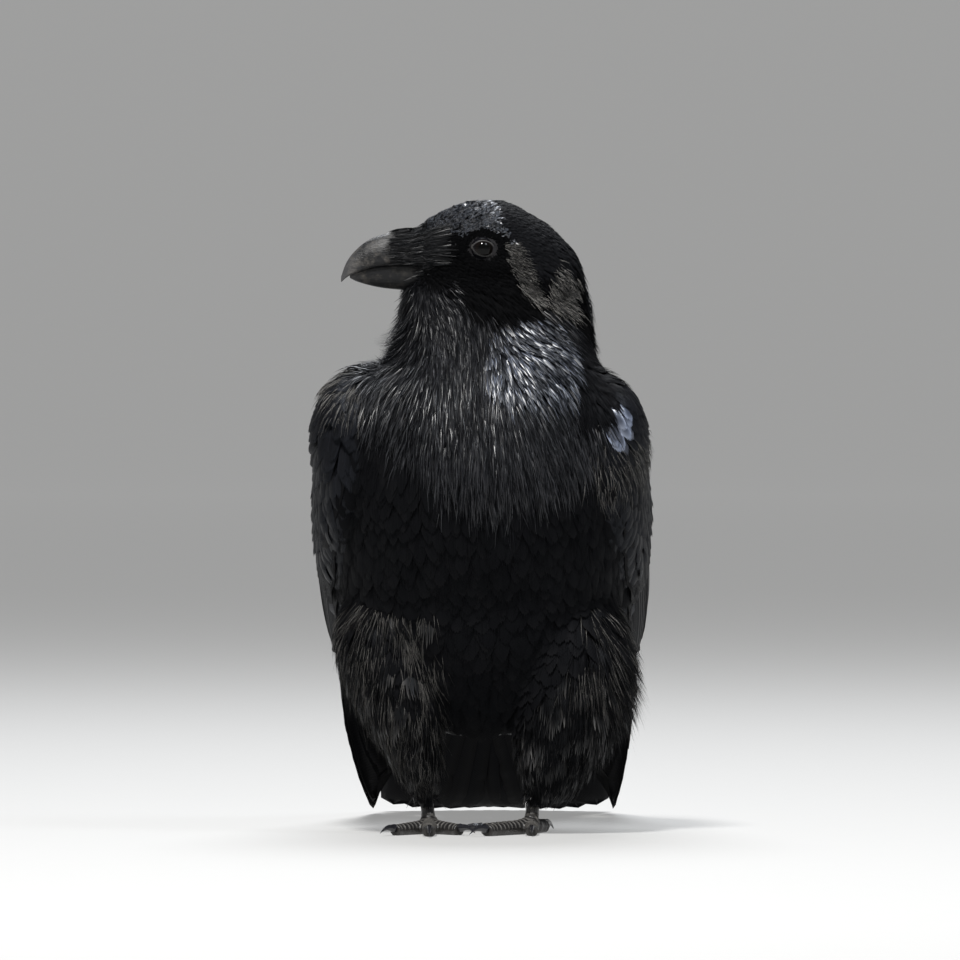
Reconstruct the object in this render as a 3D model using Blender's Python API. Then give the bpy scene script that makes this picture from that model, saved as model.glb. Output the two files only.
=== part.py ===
"""A common raven, life size, standing at rest with its head turned to its right.

The bird faces -Y, its left side is +X, and it stands on z = 0. Sizes are in millimetres here and become
metres where a mesh is made. A place is written (side, forward, up): side is +X and forward is -Y.
Each part is a loft: rings of points through a few named sections, closed at both ends.
"""

import math

import bmesh
import bpy
from mathutils import Matrix, Vector

MM = 0.001
GAP = 0.35  # clear space between two neighbouring parts

# The whole bird
WING_PITCH = math.radians(35.5)  # how far the folded wing drops towards its tip
WRIST = (0.0, 45.0, 246.0)  # bend of the wing, on the bird's middle plane
HEAD_TURN = math.radians(80.0)  # to the bird's right
HEAD_MIDDLE = (-1.0, 20.0, 355.0)  # between the eyes
EYE_RADIUS = 7.6
EYE_PLACE = (0.0, 20.2, 0.0)  # forward, left and up of the head's middle
FLAT_DEPTH = 0.7  # how much is cut from the soles to make their flats
FLOOR_HALF = 500.0  # half width of the block that cuts them
FLOOR_DEPTH = 30.0

PLUMAGE = ("plumage", (0.012, 0.012, 0.015), 0.42)
HORN = ("horn", (0.035, 0.035, 0.038), 0.35)
SCUTE = ("scute", (0.03, 0.029, 0.029), 0.45)
IRIS = ("iris", (0.02, 0.011, 0.006), 0.08)

SIDEWAYS = Vector((1, 0, 0))
BACKWARDS = Vector((0, 1, 0))
UPWARDS = Vector((0, 0, 1))


def place(side, forward, up):
    return Vector((side, -forward, up))


def material(finish):
    """The Principled material of a finish, made once."""
    name, colour, roughness = finish
    found = bpy.data.materials.get(name)
    if found:
        return found
    made = bpy.data.materials.new(name)
    made.use_nodes = True
    shader = made.node_tree.nodes["Principled BSDF"]
    shader.inputs["Base Color"].default_value = (*colour, 1.0)
    shader.inputs["Roughness"].default_value = roughness
    return made


def through(rows, steps):
    """Rows of numbers on a smooth curve through the given rows, with this many steps between two of them."""
    found = []
    last = len(rows) - 1
    for index in range(last):
        a, b, c, d = (rows[min(max(index + k, 0), last)] for k in (-1, 0, 1, 2))
        for step in range(steps):
            t = step / steps
            found.append(
                tuple(
                    q + 0.5 * t * (r - p + t * (2 * p - 5 * q + 4 * r - s + t * (3 * (q - r) + s - p)))
                    for p, q, r, s in zip(a, b, c, d)
                )
            )
    found.append(tuple(rows[-1]))
    return found


def oval(centre, across, along, half_across, half_along, points, power=2.0, bend=(0.0, 0.0)):
    """A closed ring: an ellipse at power 2, squarer above it, whose far and near ends lean back by bend."""
    ring = []
    for index in range(points):
        angle = 2 * math.pi * index / points
        u = math.copysign(abs(math.cos(angle)) ** (2 / power), math.cos(angle))
        v = math.copysign(abs(math.sin(angle)) ** (2 / power), math.sin(angle))
        lean = bend[0] if v > 0 else bend[1]
        ring.append(centre + across * (u * half_across - lean * v * v) + along * (v * half_along))
    return ring


def solid(name, rings, finish):
    """A closed mesh object through the rings, in millimetres, with a fan at each end."""
    shape = bmesh.new()
    loops = [[shape.verts.new(point * MM) for point in ring] for ring in rings]
    count = len(loops[0])
    for lower, upper in zip(loops, loops[1:]):
        for i in range(count):
            j = (i + 1) % count
            shape.faces.new((lower[i], lower[j], upper[j], upper[i]))
    for ring, loop in ((rings[0], loops[0]), (rings[-1], loops[-1])):
        middle = shape.verts.new(sum(ring, Vector()) / count * MM)
        for i in range(count):
            shape.faces.new((middle, loop[i], loop[(i + 1) % count]))
    bmesh.ops.recalc_face_normals(shape, faces=shape.faces)
    mesh = bpy.data.meshes.new(name)
    shape.to_mesh(mesh)
    shape.free()
    mesh.shade_smooth()
    mesh.materials.append(material(finish))
    made = bpy.data.objects.new(name, mesh)
    bpy.context.scene.collection.objects.link(made)
    return made


def helper(made):
    """Keeps a cutter out of the model."""
    made.hide_render = True
    made.display_type = "WIRE"
    return made


def boolean(target, operation, *others):
    for other in others:
        modifier = target.modifiers.new(f"{operation.lower()}_{other.name}", "BOOLEAN")
        modifier.operation = operation
        modifier.solver = "MANIFOLD"
        modifier.object = other


# ---------------------------------------------------------------- trunk, neck and head

# side, forward and up of the middle; turn of the long axis; lean; half length and half depth; squareness
NECK_SECTIONS = (
    (12.8, 17.6, 345, 80, 0, 33, 17, 2.0),
    (9.2, 18.3, 331, 80, 0, 56.5, 28, 2.0),
    (9.5, 18.3, 316, 80, 0, 61.5, 36, 2.0),
    (9.5, 19, 302, 84, 2, 62, 43, 2.0),
    (7.5, 18, 289 + GAP, 90, 4, 66, 52, 2.1),
)
TRUNK_SECTIONS = (
    (7.5, 18, 289, 90, 4, 66, 52, 2.1),
    (4, 14, 274, 90, 6, 79, 62, 2.2),
    (1, 8, 250, 90, 8, 87, 75, 2.2),
    (0, -4, 222, 90, 9, 90, 86, 2.2),
    (0, -19, 190, 90, 10, 91, 90, 2.2),
    (0, -36, 160, 90, 13, 89, 90, 2.2),
    (0, -55, 127, 90, 25, 82, 90, 2.2),
    (0, -81, 107, 90, 35, 72, 81, 2.1),
    (0, -112, 100, 90, 44, 57, 61, 2.0),
    (0, -142, 102, 90, 50, 41, 38, 2.0),
    (0, -167, 102, 90, 51, 27, 19, 2.0),
    (0, -181, 101, 90, 55, 14, 9, 2.0),
)
BODY_POINTS = 24


def body_rings(sections, steps, grow=0.0):
    """Rings round the spine, which grow widens and sets further apart at both ends."""
    rows = through(sections, steps)
    rings = []
    for index, (side, forward, up, turn, lean, length, depth, power) in enumerate(rows):
        turn, lean = math.radians(turn), math.radians(lean)
        long_axis = place(math.sin(turn), -math.cos(turn), 0)
        deep_axis = place(math.cos(turn), math.sin(turn), 0) * math.cos(lean) - UPWARDS * math.sin(lean)
        end = (index == 0) - (index == len(rows) - 1)
        middle = place(side, forward, up) + deep_axis.cross(long_axis) * (grow * end)
        rings.append(oval(middle, long_axis, deep_axis, length + grow, depth + grow, BODY_POINTS, power))
    return rings


# forward, middle height, half width and half height of the head, in its own frame
HEAD_SECTIONS = (
    (43.5, -1.5, 9.0, 10.5),
    (37.5, -3.5, 13.2, 18.0),
    (30, -4, 16.6, 23.2),
    (20, -3.2, 20.0, 27.9),
    (9.5, -3, 23.2, 30.9),
    (-1, -3.9, 26.2, 33.1),
    (-13.6, -5.2, 29.2, 34.8),
    (-25, -8.2, 31.0, 34.2),
    (-37, -12.8, 31.0, 31.3),
    (-49.6, -18.5, 28.6, 28.3),
    (-59, -24, 23.0, 23.0),
    (-65, -28, 14.0, 15.0),
    (-67.5, -29.5, 6.0, 7.0),
)
HEAD_POINTS = 20
# the same columns for the pad of bristles that lies over the nostrils
BRISTLE_SECTIONS = (
    (64, 5.0, 2.5, 1.8),
    (62, 4.6, 5.5, 4.0),
    (57, 3.5, 9.0, 7.6),
    (50, 2.0, 11.3, 10.6),
    (40, 1.5, 12.4, 12.4),
    (30, 2.0, 11.5, 11.0),
)
SOCKET_RADIUS = 8.9
SOCKET_OUT = 0.9  # how much further out than the eye the socket's middle lies
BALL_RINGS = 6


def head_frame():
    """Turns (forward, left, up) of the head into the bird's frame."""
    forward = place(-math.sin(HEAD_TURN), math.cos(HEAD_TURN), 0)
    left = place(math.cos(HEAD_TURN), math.sin(HEAD_TURN), 0)
    turned = Matrix((forward, left, Vector((0, 0, 1)))).transposed().to_4x4()
    return Matrix.Translation(place(*HEAD_MIDDLE)) @ turned


def head_rings(sections, grow=0.0):
    frame = head_frame()
    left, up = frame.col[1].xyz, frame.col[2].xyz
    rings = []
    for index, (forward, middle, width, height) in enumerate(sections):
        end = (index == 0) - (index == len(sections) - 1)
        centre = frame @ Vector((forward + grow * end, 0, middle))
        rings.append(oval(centre, left, up, width + grow, height + grow, HEAD_POINTS, 2.1))
    return rings


def ball(name, centre, radius, finish):
    """A round solid whose poles point up and down."""
    rings = []
    for step in range(1, BALL_RINGS):
        angle = math.pi * step / BALL_RINGS
        level = centre + Vector((0, 0, -radius * math.cos(angle)))
        reach = radius * math.sin(angle)
        rings.append(oval(level, SIDEWAYS, BACKWARDS, reach, reach, 2 * BALL_RINGS))
    return solid(name, rings, finish)


def make_core():
    """Trunk, neck and head, with the head's two eyes in their sockets."""
    solid("trunk", body_rings(TRUNK_SECTIONS, 2), PLUMAGE)
    neck = solid("neck", body_rings(NECK_SECTIONS, 1), PLUMAGE)
    head = solid("head", head_rings(HEAD_SECTIONS), PLUMAGE)
    pad = helper(solid("bristle_pad", head_rings(BRISTLE_SECTIONS), PLUMAGE))
    head_space = helper(solid("head_space", head_rings(HEAD_SECTIONS, GAP), PLUMAGE))
    boolean(head, "UNION", pad)
    boolean(neck, "DIFFERENCE", head_space)
    forward, left, up = EYE_PLACE
    for name, side in (("left", 1), ("right", -1)):
        socket_middle = head_frame() @ Vector((forward, (left + SOCKET_OUT) * side, up))
        boolean(head, "DIFFERENCE", helper(ball(f"socket_{name}", socket_middle, SOCKET_RADIUS, PLUMAGE)))
        ball(f"eye_{name}", head_frame() @ Vector((forward, left * side, up)), EYE_RADIUS, IRIS)


# ---------------------------------------------------------------- bill

# forward, height of the culmen, height of the cutting edge, half width
UPPER_BILL = (
    (24, 10.5, -11.4, 11.8),
    (38, 11.2, -10.3, 11.2),
    (50, 10.4, -10.0, 9.9),
    (60, 7.8, -10.6, 8.2),
    (68, 4.0, -12.4, 6.5),
    (75, -1.8, -14.6, 4.6),
    (80, -8.6, -17.0, 2.9),
    (83.2, -16.6, -20.0, 1.1),
)
# forward, height of the cutting edge, height of the lower ridge, half width
LOWER_BILL = (
    (24, -11.8, -25.0, 10.4),
    (38, -10.7, -25.4, 9.9),
    (50, -10.4, -24.8, 8.7),
    (60, -11.0, -23.6, 7.2),
    (68, -12.8, -21.8, 5.6),
    (74, -14.7, -19.8, 3.6),
    (77.5, -15.9, -17.8, 1.5),
)
BILL_SIDE_POINTS = 6
GAPE_LIFT = 0.6  # how far the roof of the bill hollows above its cutting edges
FULL_LIFT_WIDTH = 4.0  # half width of the bill from which it hollows by all of that
BILL_FULLNESS = 0.8  # below 1 the bill's sides bulge


def bill_rings(sections):
    """Rings that arch from one cutting edge over the ridge to the other, over a shallow floor."""
    frame = head_frame()
    rings = []
    for forward, ridge, edge, width in through(sections, 2):
        ring = []
        for index in range(2 * BILL_SIDE_POINTS + 1):
            angle = math.pi * index / (2 * BILL_SIDE_POINTS)
            left = width * math.cos(angle)
            rise = abs(math.sin(angle)) ** BILL_FULLNESS
            ring.append(frame @ Vector((forward, left, edge + (ridge - edge) * rise)))
        lift = GAPE_LIFT if ridge > edge else -GAPE_LIFT
        for share in (-0.5, 0.0, 0.5):
            floor = edge + lift * min(1.0, width / FULL_LIFT_WIDTH) * (1 - abs(share))
            ring.append(frame @ Vector((forward, width * share, floor)))
        rings.append(ring)
    return rings


def make_bill():
    head_space = bpy.data.objects["head_space"]
    pad_space = helper(solid("pad_space", head_rings(BRISTLE_SECTIONS, GAP), PLUMAGE))
    chin_space = helper(solid("chin_space", body_rings(NECK_SECTIONS, 1, GAP), PLUMAGE))
    upper = solid("bill_upper", bill_rings(UPPER_BILL), HORN)
    boolean(upper, "DIFFERENCE", head_space, pad_space)
    turned = tuple((forward, ridge, edge, width) for forward, edge, ridge, width in LOWER_BILL)
    lower = solid("bill_lower", bill_rings(turned), HORN)
    boolean(lower, "DIFFERENCE", head_space, chin_space)


# ---------------------------------------------------------------- wings

# along from the wrist; middle of the height; half height; reach of the outer face; half thickness;
# how far the upper and the lower edge lean in
WING_SECTIONS = (
    (-19, 14, 12, 85, 9, 4, 2),
    (-14, 14, 24, 93, 16, 10, 5),
    (0, 13, 38, 99.5, 20, 21, 6),
    (22, 11, 49, 102.5, 21, 29, 3),
    (55, 12, 55, 103.5, 20, 34, 0),
    (95, 14, 55, 104, 18, 39, -2),
    (135, 13, 50, 104, 16, 48, -2),
    (170, 10, 42, 103, 13, 40, -1),
    (200, 6, 32, 101, 9.5, 27, 0),
    (220, 3, 22, 99, 6.5, 14, 0),
    (231, 1, 10, 97, 3.5, 4, 0),
)
# the same columns for the long primaries that run on to the wing's tip
PRIMARY_SECTIONS = (
    (190, -7, 17, 96, 4.2, 14, 0),
    (215, -7, 20, 95.5, 4.2, 20, -1),
    (250, -4, 21, 94, 4.0, 30, -2),
    (290, 0, 20.5, 91.5, 3.6, 36, -3),
    (330, 4, 19, 88, 3.1, 37, -3),
    (370, 7, 17, 84, 2.5, 33, -2),
    (402, 10, 16, 80, 1.9, 28, -1),
    (419, 12, 10, 77.5, 1.4, 17, 0),
    (427, 12.5, 4, 76, 0.9, 7, 0),
)
WING_POINTS = 18


def wing_rings(sections, side, steps, grow=0.0):
    """Rings across a folded wing of one side. Each leans in at its upper and lower edge."""
    back = place(0, -math.cos(WING_PITCH), -math.sin(WING_PITCH))
    rise = place(0, -math.sin(WING_PITCH), math.cos(WING_PITCH))
    outward = Vector((side, 0, 0))
    rows = through(sections, steps)
    rings = []
    for index, (along, middle, height, reach, thick, *leans) in enumerate(rows):
        end = (index == len(rows) - 1) - (index == 0)
        centre = place(*WRIST) + back * (along + grow * end) + rise * middle + outward * (reach - thick)
        rings.append(oval(centre, outward, rise, thick + grow, height + grow, WING_POINTS, 2.3, leans))
    return rings


def make_wings():
    body_space = helper(solid("body_space", body_rings(TRUNK_SECTIONS, 2, GAP), PLUMAGE))
    neck_space = helper(solid("neck_space", body_rings(NECK_SECTIONS, 1, GAP), PLUMAGE))
    for name, side in (("left", 1), ("right", -1)):
        wing = solid(f"wing_{name}", wing_rings(WING_SECTIONS, side, 2), PLUMAGE)
        boolean(wing, "DIFFERENCE", body_space, neck_space)
        wing_space = helper(solid(f"wing_space_{name}", wing_rings(WING_SECTIONS, side, 2, GAP), PLUMAGE))
        primaries = solid(f"primaries_{name}", wing_rings(PRIMARY_SECTIONS, side, 1), PLUMAGE)
        boolean(primaries, "DIFFERENCE", wing_space, body_space)


# ---------------------------------------------------------------- tail

# forward and up of the middle; half width and half thickness; droop of the two sides
TAIL_SECTIONS = (
    (-140, 117, 22, 8, 2),
    (-165, 104, 31, 9, 4),
    (-195, 87, 39, 8, 8),
    (-230, 66, 46.5, 6, 11),
    (-265, 45, 52.5, 4.5, 12),
    (-298, 25.5, 55, 3.4, 10),
    (-325, 11, 59, 2.8, 5),
    (-344, 3.6, 54, 2.4, 1.5),
    (-356, 1.3, 36, 2.0, 0.3),
    (-361, 0.9, 14, 1.6, 0),
)
TAIL_POINTS = 16


def tail_rings():
    rings = []
    last = len(TAIL_SECTIONS) - 1
    for index, (forward, up, width, thick, droop) in enumerate(TAIL_SECTIONS):
        before, after = TAIL_SECTIONS[max(index - 1, 0)], TAIL_SECTIONS[min(index + 1, last)]
        run = place(0, after[0] - before[0], after[1] - before[1]).normalized()
        rise = run.cross(SIDEWAYS)
        middle = place(0, forward, up)
        rings.append(oval(middle, rise, SIDEWAYS, thick, width, TAIL_POINTS, 2.2, (droop, droop)))
    return rings


def make_tail(floor):
    tail = solid("tail", tail_rings(), PLUMAGE)
    boolean(tail, "DIFFERENCE", bpy.data.objects["body_space"], floor)


# ---------------------------------------------------------------- legs

# side, forward and up of the middle; half width and half depth
# the left leg's feathers hang wide, like trousers
THIGH_SECTIONS = {
    "left": (
        (50, -14, 142, 33, 40),
        (54, -8, 120, 37, 42),
        (54, -4, 98, 37, 39),
        (52, -2, 76, 34.5, 34),
        (48.5, -2, 56, 28, 28),
        (45.5, -3, 40, 22, 22),
        (43, -4, 29, 17.5, 17),
        (40.5, -4, 19, 13.5, 12),
    ),
    "right": (
        (50, -14, 142, 33, 40),
        (53, -8, 120, 36, 42),
        (51, -4, 98, 33, 39),
        (47, -2, 76, 27, 33),
        (42.5, -2, 56, 17.5, 26),
        (38, -3, 40, 12.5, 20),
        (35, -4, 29, 9.5, 15),
        (33.5, -4, 19, 7.5, 10.5),
    ),
}
THIGH_POINTS = 16
FOOT_SIDE = 31.0
HUB_HEIGHT = 7.5
SHANK_LENGTH = 44.0
# share of its length, and radius
SHANK_SECTIONS = ((0.0, 5.4), (0.12, 4.9), (0.3, 4.6), (0.6, 4.6), (1.0, 5.0))
SHANK_TOP = (4.0, -9.0)  # out and forward of its foot
SHANK_FLATNESS = 0.86  # width as a share of depth
SHANK_SINK = 2.0  # how far its lower end lies inside the hub
# heading from the foot's own front, length, radius at its root and at its end, and length of the claw
TOES = {
    "inner": (34.0, 31.0, 4.9, 3.7, 17.0),
    "middle": (-2.0, 46.0, 5.1, 3.8, 19.0),
    "outer": (-38.0, 35.0, 4.8, 3.6, 16.0),
    "hind": (180.0, 24.0, 5.2, 4.2, 23.0),
}
FOOT_TURN = {"left": -36.0, "right": -4.0}  # degrees outwards, of the front toes
HIND_TURN = {"left": -16.0, "right": -2.0}  # the same, of the hind toe
TOE_POINTS = 10
TOE_STEPS = 7
KNUCKLES = 3
KNUCKLE_SWELL = 0.12  # share by which the joints widen a toe
ARCH_RUN = 1 / 3.2  # share of a toe over which it comes down from the hub
ROOT_TILT = math.radians(8)  # of a toe's first ring
CLAW_POINTS = 6
CLAW_STEPS = 6
CLAW_BEND = math.radians(62.0)
CLAW_PITCH = math.radians(18.0)  # upwards, where the claw starts
CLAW_ROOT = 0.82  # its radius there as a share of the toe's
CLAW_POINT = 0.35  # radius of its point
CLAW_TAPER = 0.8  # below 1 it stays stout for longer
CLAW_FLATNESS = 0.72  # width as a share of depth
CLAW_RISE = 0.9  # how far its root lies above the middle of the toe's end


def heading(name, side, toe):
    """Unit direction of a toe along the floor. Outwards is +X on the left foot and -X on the right."""
    turn = HIND_TURN if toe == "hind" else FOOT_TURN
    angle = math.radians(turn[name] - TOES[toe][0])
    return place(side * math.sin(angle), math.cos(angle), 0)


def toe_rings(name, side, toe):
    """A toe that arches down from the hub and lies along the floor on padded joints."""
    _, length, root, end, _ = TOES[toe]
    run = heading(name, side, toe)
    across = run.cross(UPWARDS)
    hub = place(side * FOOT_SIDE, 0, 0)
    rings = []
    for step in range(TOE_STEPS + 1):
        t = step / TOE_STEPS
        radius = root + (end - root) * t
        pad = 1 + KNUCKLE_SWELL * math.cos(2 * math.pi * KNUCKLES * t)
        height = radius - FLAT_DEPTH + (HUB_HEIGHT - root) * max(0.0, 1 - t / ARCH_RUN) ** 2
        tilt = ROOT_TILT if step == 0 else 0.0
        rise = UPWARDS * math.cos(tilt) - run * math.sin(tilt)
        middle = hub + run * (length * t) + UPWARDS * height
        rings.append(oval(middle, across, rise, radius * pad, radius, TOE_POINTS))
    return rings


def claw_rings(name, side, toe):
    """A claw that starts just past the toe's end and curves down to a point above the floor."""
    _, length, _, end, claw = TOES[toe]
    run = heading(name, side, toe)
    across = run.cross(UPWARDS)
    point = place(side * FOOT_SIDE, 0, 0) + run * (length + GAP) + UPWARDS * (end + CLAW_RISE)
    pitch = CLAW_PITCH
    rings = []
    for step in range(CLAW_STEPS + 1):
        t = step / CLAW_STEPS
        ahead = run * math.cos(pitch) + UPWARDS * math.sin(pitch)
        rise = UPWARDS * math.cos(pitch) - run * math.sin(pitch)
        radius = max(CLAW_POINT, end * CLAW_ROOT * (1 - t) ** CLAW_TAPER)
        if step == 0:
            ahead, rise = run, UPWARDS
        rings.append(oval(point, across, rise, radius * CLAW_FLATNESS, radius, CLAW_POINTS))
        point = point + ahead * (claw / CLAW_STEPS)
        pitch -= CLAW_BEND / CLAW_STEPS
    return rings


def shank_rings(side, grow=0.0):
    """The bare lower leg, from the foot's hub up into the feathers."""
    rings = []
    for share, radius in SHANK_SECTIONS:
        top = share == SHANK_SECTIONS[-1][0]
        out, forward = (way * share for way in SHANK_TOP)
        up = HUB_HEIGHT - SHANK_SINK + SHANK_LENGTH * share + grow * top
        middle = place(side * (FOOT_SIDE + out), forward, up)
        width = radius * SHANK_FLATNESS + grow
        rings.append(oval(middle, SIDEWAYS, BACKWARDS, width, radius + grow, TOE_POINTS))
    return rings


def make_legs(floor):
    body_space = bpy.data.objects["body_space"]
    for name, side in (("left", 1), ("right", -1)):
        thigh = solid(
            f"thigh_{name}",
            [
                oval(place(side * out, forward, up), SIDEWAYS, BACKWARDS, width, depth, THIGH_POINTS)
                for out, forward, up, width, depth in THIGH_SECTIONS[name]
            ],
            PLUMAGE,
        )
        shank_space = helper(solid(f"shank_space_{name}", shank_rings(side, GAP), SCUTE))
        boolean(thigh, "DIFFERENCE", body_space, bpy.data.objects[f"wing_space_{name}"], shank_space)
        foot = solid(f"foot_{name}", shank_rings(side), SCUTE)
        toes = [helper(solid(f"toe_{toe}_{name}", toe_rings(name, side, toe), SCUTE)) for toe in TOES]
        boolean(foot, "UNION", *toes)
        boolean(foot, "DIFFERENCE", floor)
        for toe in TOES:
            solid(f"claw_{toe}_{name}", claw_rings(name, side, toe), HORN)


def floor_block():
    """A cutter whose top face is the floor, so that soles and tail tip end in flats at one level."""
    top = [place(FLOOR_HALF * x, FLOOR_HALF * y, 0) for x, y in ((-1, -1), (1, -1), (1, 1), (-1, 1))]
    bottom = [corner - UPWARDS * FLOOR_DEPTH for corner in top]
    return helper(solid("floor_block", [bottom, top], SCUTE))


def centre_on_origin():
    """Moves everything so that the origin lies on the floor, under the middle of the whole bird's box."""
    bpy.context.view_layer.update()
    graph = bpy.context.evaluated_depsgraph_get()
    shown = [made for made in bpy.data.objects if not made.hide_render]
    corners = [Vector(corner) for made in shown for corner in made.evaluated_get(graph).bound_box]
    low = Vector(min(corner[axis] for corner in corners) for axis in range(3))
    high = Vector(max(corner[axis] for corner in corners) for axis in range(3))
    shift = Vector((-(low.x + high.x) / 2, -(low.y + high.y) / 2, -low.z))
    for made in bpy.data.objects:
        made.location = shift


def main():
    for old in list(bpy.data.objects):
        bpy.data.objects.remove(old)
    floor = floor_block()
    make_core()
    make_bill()
    make_wings()
    make_tail(floor)
    make_legs(floor)
    centre_on_origin()


main()
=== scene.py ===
import math
import time

import bmesh
import bpy
import numpy as np
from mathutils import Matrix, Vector
from mathutils.bvhtree import BVHTree


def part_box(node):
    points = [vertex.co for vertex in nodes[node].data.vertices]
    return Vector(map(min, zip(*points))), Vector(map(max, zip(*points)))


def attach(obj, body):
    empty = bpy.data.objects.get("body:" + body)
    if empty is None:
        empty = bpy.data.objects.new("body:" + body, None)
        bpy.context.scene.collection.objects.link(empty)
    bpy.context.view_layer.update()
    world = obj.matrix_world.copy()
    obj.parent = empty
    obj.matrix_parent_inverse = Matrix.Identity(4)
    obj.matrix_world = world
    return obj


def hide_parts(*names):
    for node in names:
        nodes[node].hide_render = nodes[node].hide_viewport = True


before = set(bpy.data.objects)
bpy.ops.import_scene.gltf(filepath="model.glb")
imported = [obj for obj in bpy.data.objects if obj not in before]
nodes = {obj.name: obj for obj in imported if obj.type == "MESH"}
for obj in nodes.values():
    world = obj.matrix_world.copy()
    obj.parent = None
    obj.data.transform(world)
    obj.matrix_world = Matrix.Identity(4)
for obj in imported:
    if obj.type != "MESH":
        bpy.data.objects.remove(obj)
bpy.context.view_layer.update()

# A common raven, life size, in solid feathers over one skin.
# Lengths in the dictionaries are millimetres. Places on the body are (side, forward, up) from the floor
# under the ankles, and places on the head are (forward, left, up) from the middle between the eyes.

startTime = time.time()
mm = 0.001
rng = np.random.default_rng(11)
bpy.ops.object.select_all(action="DESELECT")


def report(words):
    print(f"[{time.time() - startTime:6.1f} s] {words}", flush=True)


def unit(rows):
    rows = np.asarray(rows, float)
    return rows / np.maximum(np.linalg.norm(rows, axis=-1, keepdims=True), 1e-9)


def middleOf(node):
    low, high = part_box(node)
    return np.array((low + high) / 2)


eyeMiddle = {side: middleOf(f"eye_{side}") for side in ("left", "right")}
headMiddle = (eyeMiddle["left"] + eyeMiddle["right"]) / 2
headUp = np.array((0.0, 0.0, 1.0))
headLeft = unit(eyeMiddle["left"] - eyeMiddle["right"])
headForward = np.cross(headLeft, headUp)
headAxes = np.stack((headForward, headLeft, headUp))
bodyAxes = np.diag((1.0, -1.0, 1.0))
bodyStart = np.array((0.0, headMiddle[1] + 20 * mm, 0.0))  # the ankles lie 20 mm behind the eyes' middle


def headPlace(rows):
    return headMiddle + np.asarray(rows, float) * mm @ headAxes


def bodyPlace(rows):
    return bodyStart + np.asarray(rows, float) * mm @ bodyAxes


def inHead(points):
    return (points - headMiddle) @ headAxes.T / mm


def inBody(points):
    return (points - bodyStart) @ bodyAxes.T / mm


wingPlane = {"pitch": 35.5, "wrist": (0, 45, 246)}  # the folded wing's drop, and the place of its bend
wingPitch = math.radians(wingPlane["pitch"])
wingAxes = np.array(((0, -math.cos(wingPitch), -math.sin(wingPitch)),  # along the wing, and up across it
                     (0, -math.sin(wingPitch), math.cos(wingPitch))))


class Wire:
    # a shader socket that can stand in sums
    def __init__(self, tree, socket):
        self.tree, self.socket = tree, socket

    def calc(self, operation, first, second=None):
        node = self.tree.nodes.new("ShaderNodeMath")
        node.operation = operation
        for index, value in enumerate((first, second)):
            if isinstance(value, Wire):
                self.tree.links.new(value.socket, node.inputs[index])
            elif value is not None:
                node.inputs[index].default_value = value
        return Wire(self.tree, node.outputs[0])

    def __add__(self, other):
        return self.calc("ADD", self, other)

    def __sub__(self, other):
        return self.calc("SUBTRACT", self, other)

    def __rsub__(self, other):
        return self.calc("SUBTRACT", other, self)

    def __mul__(self, other):
        return self.calc("MULTIPLY", self, other)

    def __pow__(self, other):
        return self.calc("POWER", self, other)

    def wave(self):
        return self.calc("SINE", self)

    def clip(self):
        return self.calc("MINIMUM", self.calc("MAXIMUM", self, 0.0), 1.0)

    def size(self):
        return self.calc("ABSOLUTE", self)


class Finish:
    # a material with its Principled shader, and one way to add any other node
    def __init__(self, name):
        self.material = bpy.data.materials.new(name)
        self.material.use_nodes = True
        self.tree = self.material.node_tree

    def put(self, node, values):
        for key, value in values.items():
            socket = node.inputs[key if isinstance(key, int) else key.replace("_", " ")]
            if isinstance(value, Wire):
                self.tree.links.new(value.socket, socket)
            else:
                socket.default_value = (*value, 1.0) if socket.type == "RGBA" and len(value) == 3 else value

    def node(self, kind, settings=None, out=0, **values):
        made = self.tree.nodes.new("ShaderNode" + kind)
        for key, value in (settings or {}).items():
            setattr(made, key, value)
        self.put(made, values)
        return Wire(self.tree, made.outputs[out])

    def mark(self, key):
        return self.node("Attribute", {"attribute_name": key}, out=2)

    def places(self, size):
        return self.node("Mapping", Vector=self.node("TexCoord", out=3), Scale=(1 / size,) * 3)

    def noise(self, at, scale=1.0, detail=2.0, rough=0.5):
        at = at if isinstance(at, Wire) else self.places(at)
        return self.node("TexNoise", Vector=at, Scale=scale, Detail=detail, Roughness=rough)

    def mix(self, share, first, second):
        made = self.tree.nodes.new("ShaderNodeMix")
        made.data_type = "RGBA"
        self.put(made, {0: share, 6: first, 7: second})
        return Wire(self.tree, made.outputs[2])

    def bump(self, height, distance, strength):
        return self.node("Bump", Height=height, Distance=distance * mm, Strength=strength)

    def set(self, **values):
        self.put(self.tree.nodes["Principled BSDF"], values)
        return self.material


def onlySelect(*things):
    bpy.ops.object.select_all(action="DESELECT")
    for thing in things:
        thing.select_set(True)
    bpy.context.view_layer.objects.active = things[0]


def edit(thing, change):
    onlySelect(thing)
    bpy.ops.object.mode_set(mode="EDIT")
    bpy.ops.mesh.select_all(action="SELECT")
    change()
    bpy.ops.object.mode_set(mode="OBJECT")


def ease(thing, rounds, group=""):
    change = thing.modifiers.new("ease", "SMOOTH")
    change.iterations, change.factor, change.vertex_group = rounds, 0.5, group
    applyAll(thing)


def applyAll(thing):
    onlySelect(thing)
    for modifier in list(thing.modifiers):
        bpy.ops.object.modifier_apply(modifier=modifier.name)


def read(holder, key, kind, width):
    values = np.empty(len(holder) * width, kind)
    holder.foreach_get(key, values)
    return values.reshape(-1, width)


def pointsOf(thing):
    return read(thing.data.vertices, "co", np.float32, 3).astype(float)


def normalsOf(thing):
    return read(thing.data.vertices, "normal", np.float32, 3).astype(float)


def setPoints(thing, points):
    thing.data.vertices.foreach_set("co", np.asarray(points, np.float32).ravel())
    thing.data.update()


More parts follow.
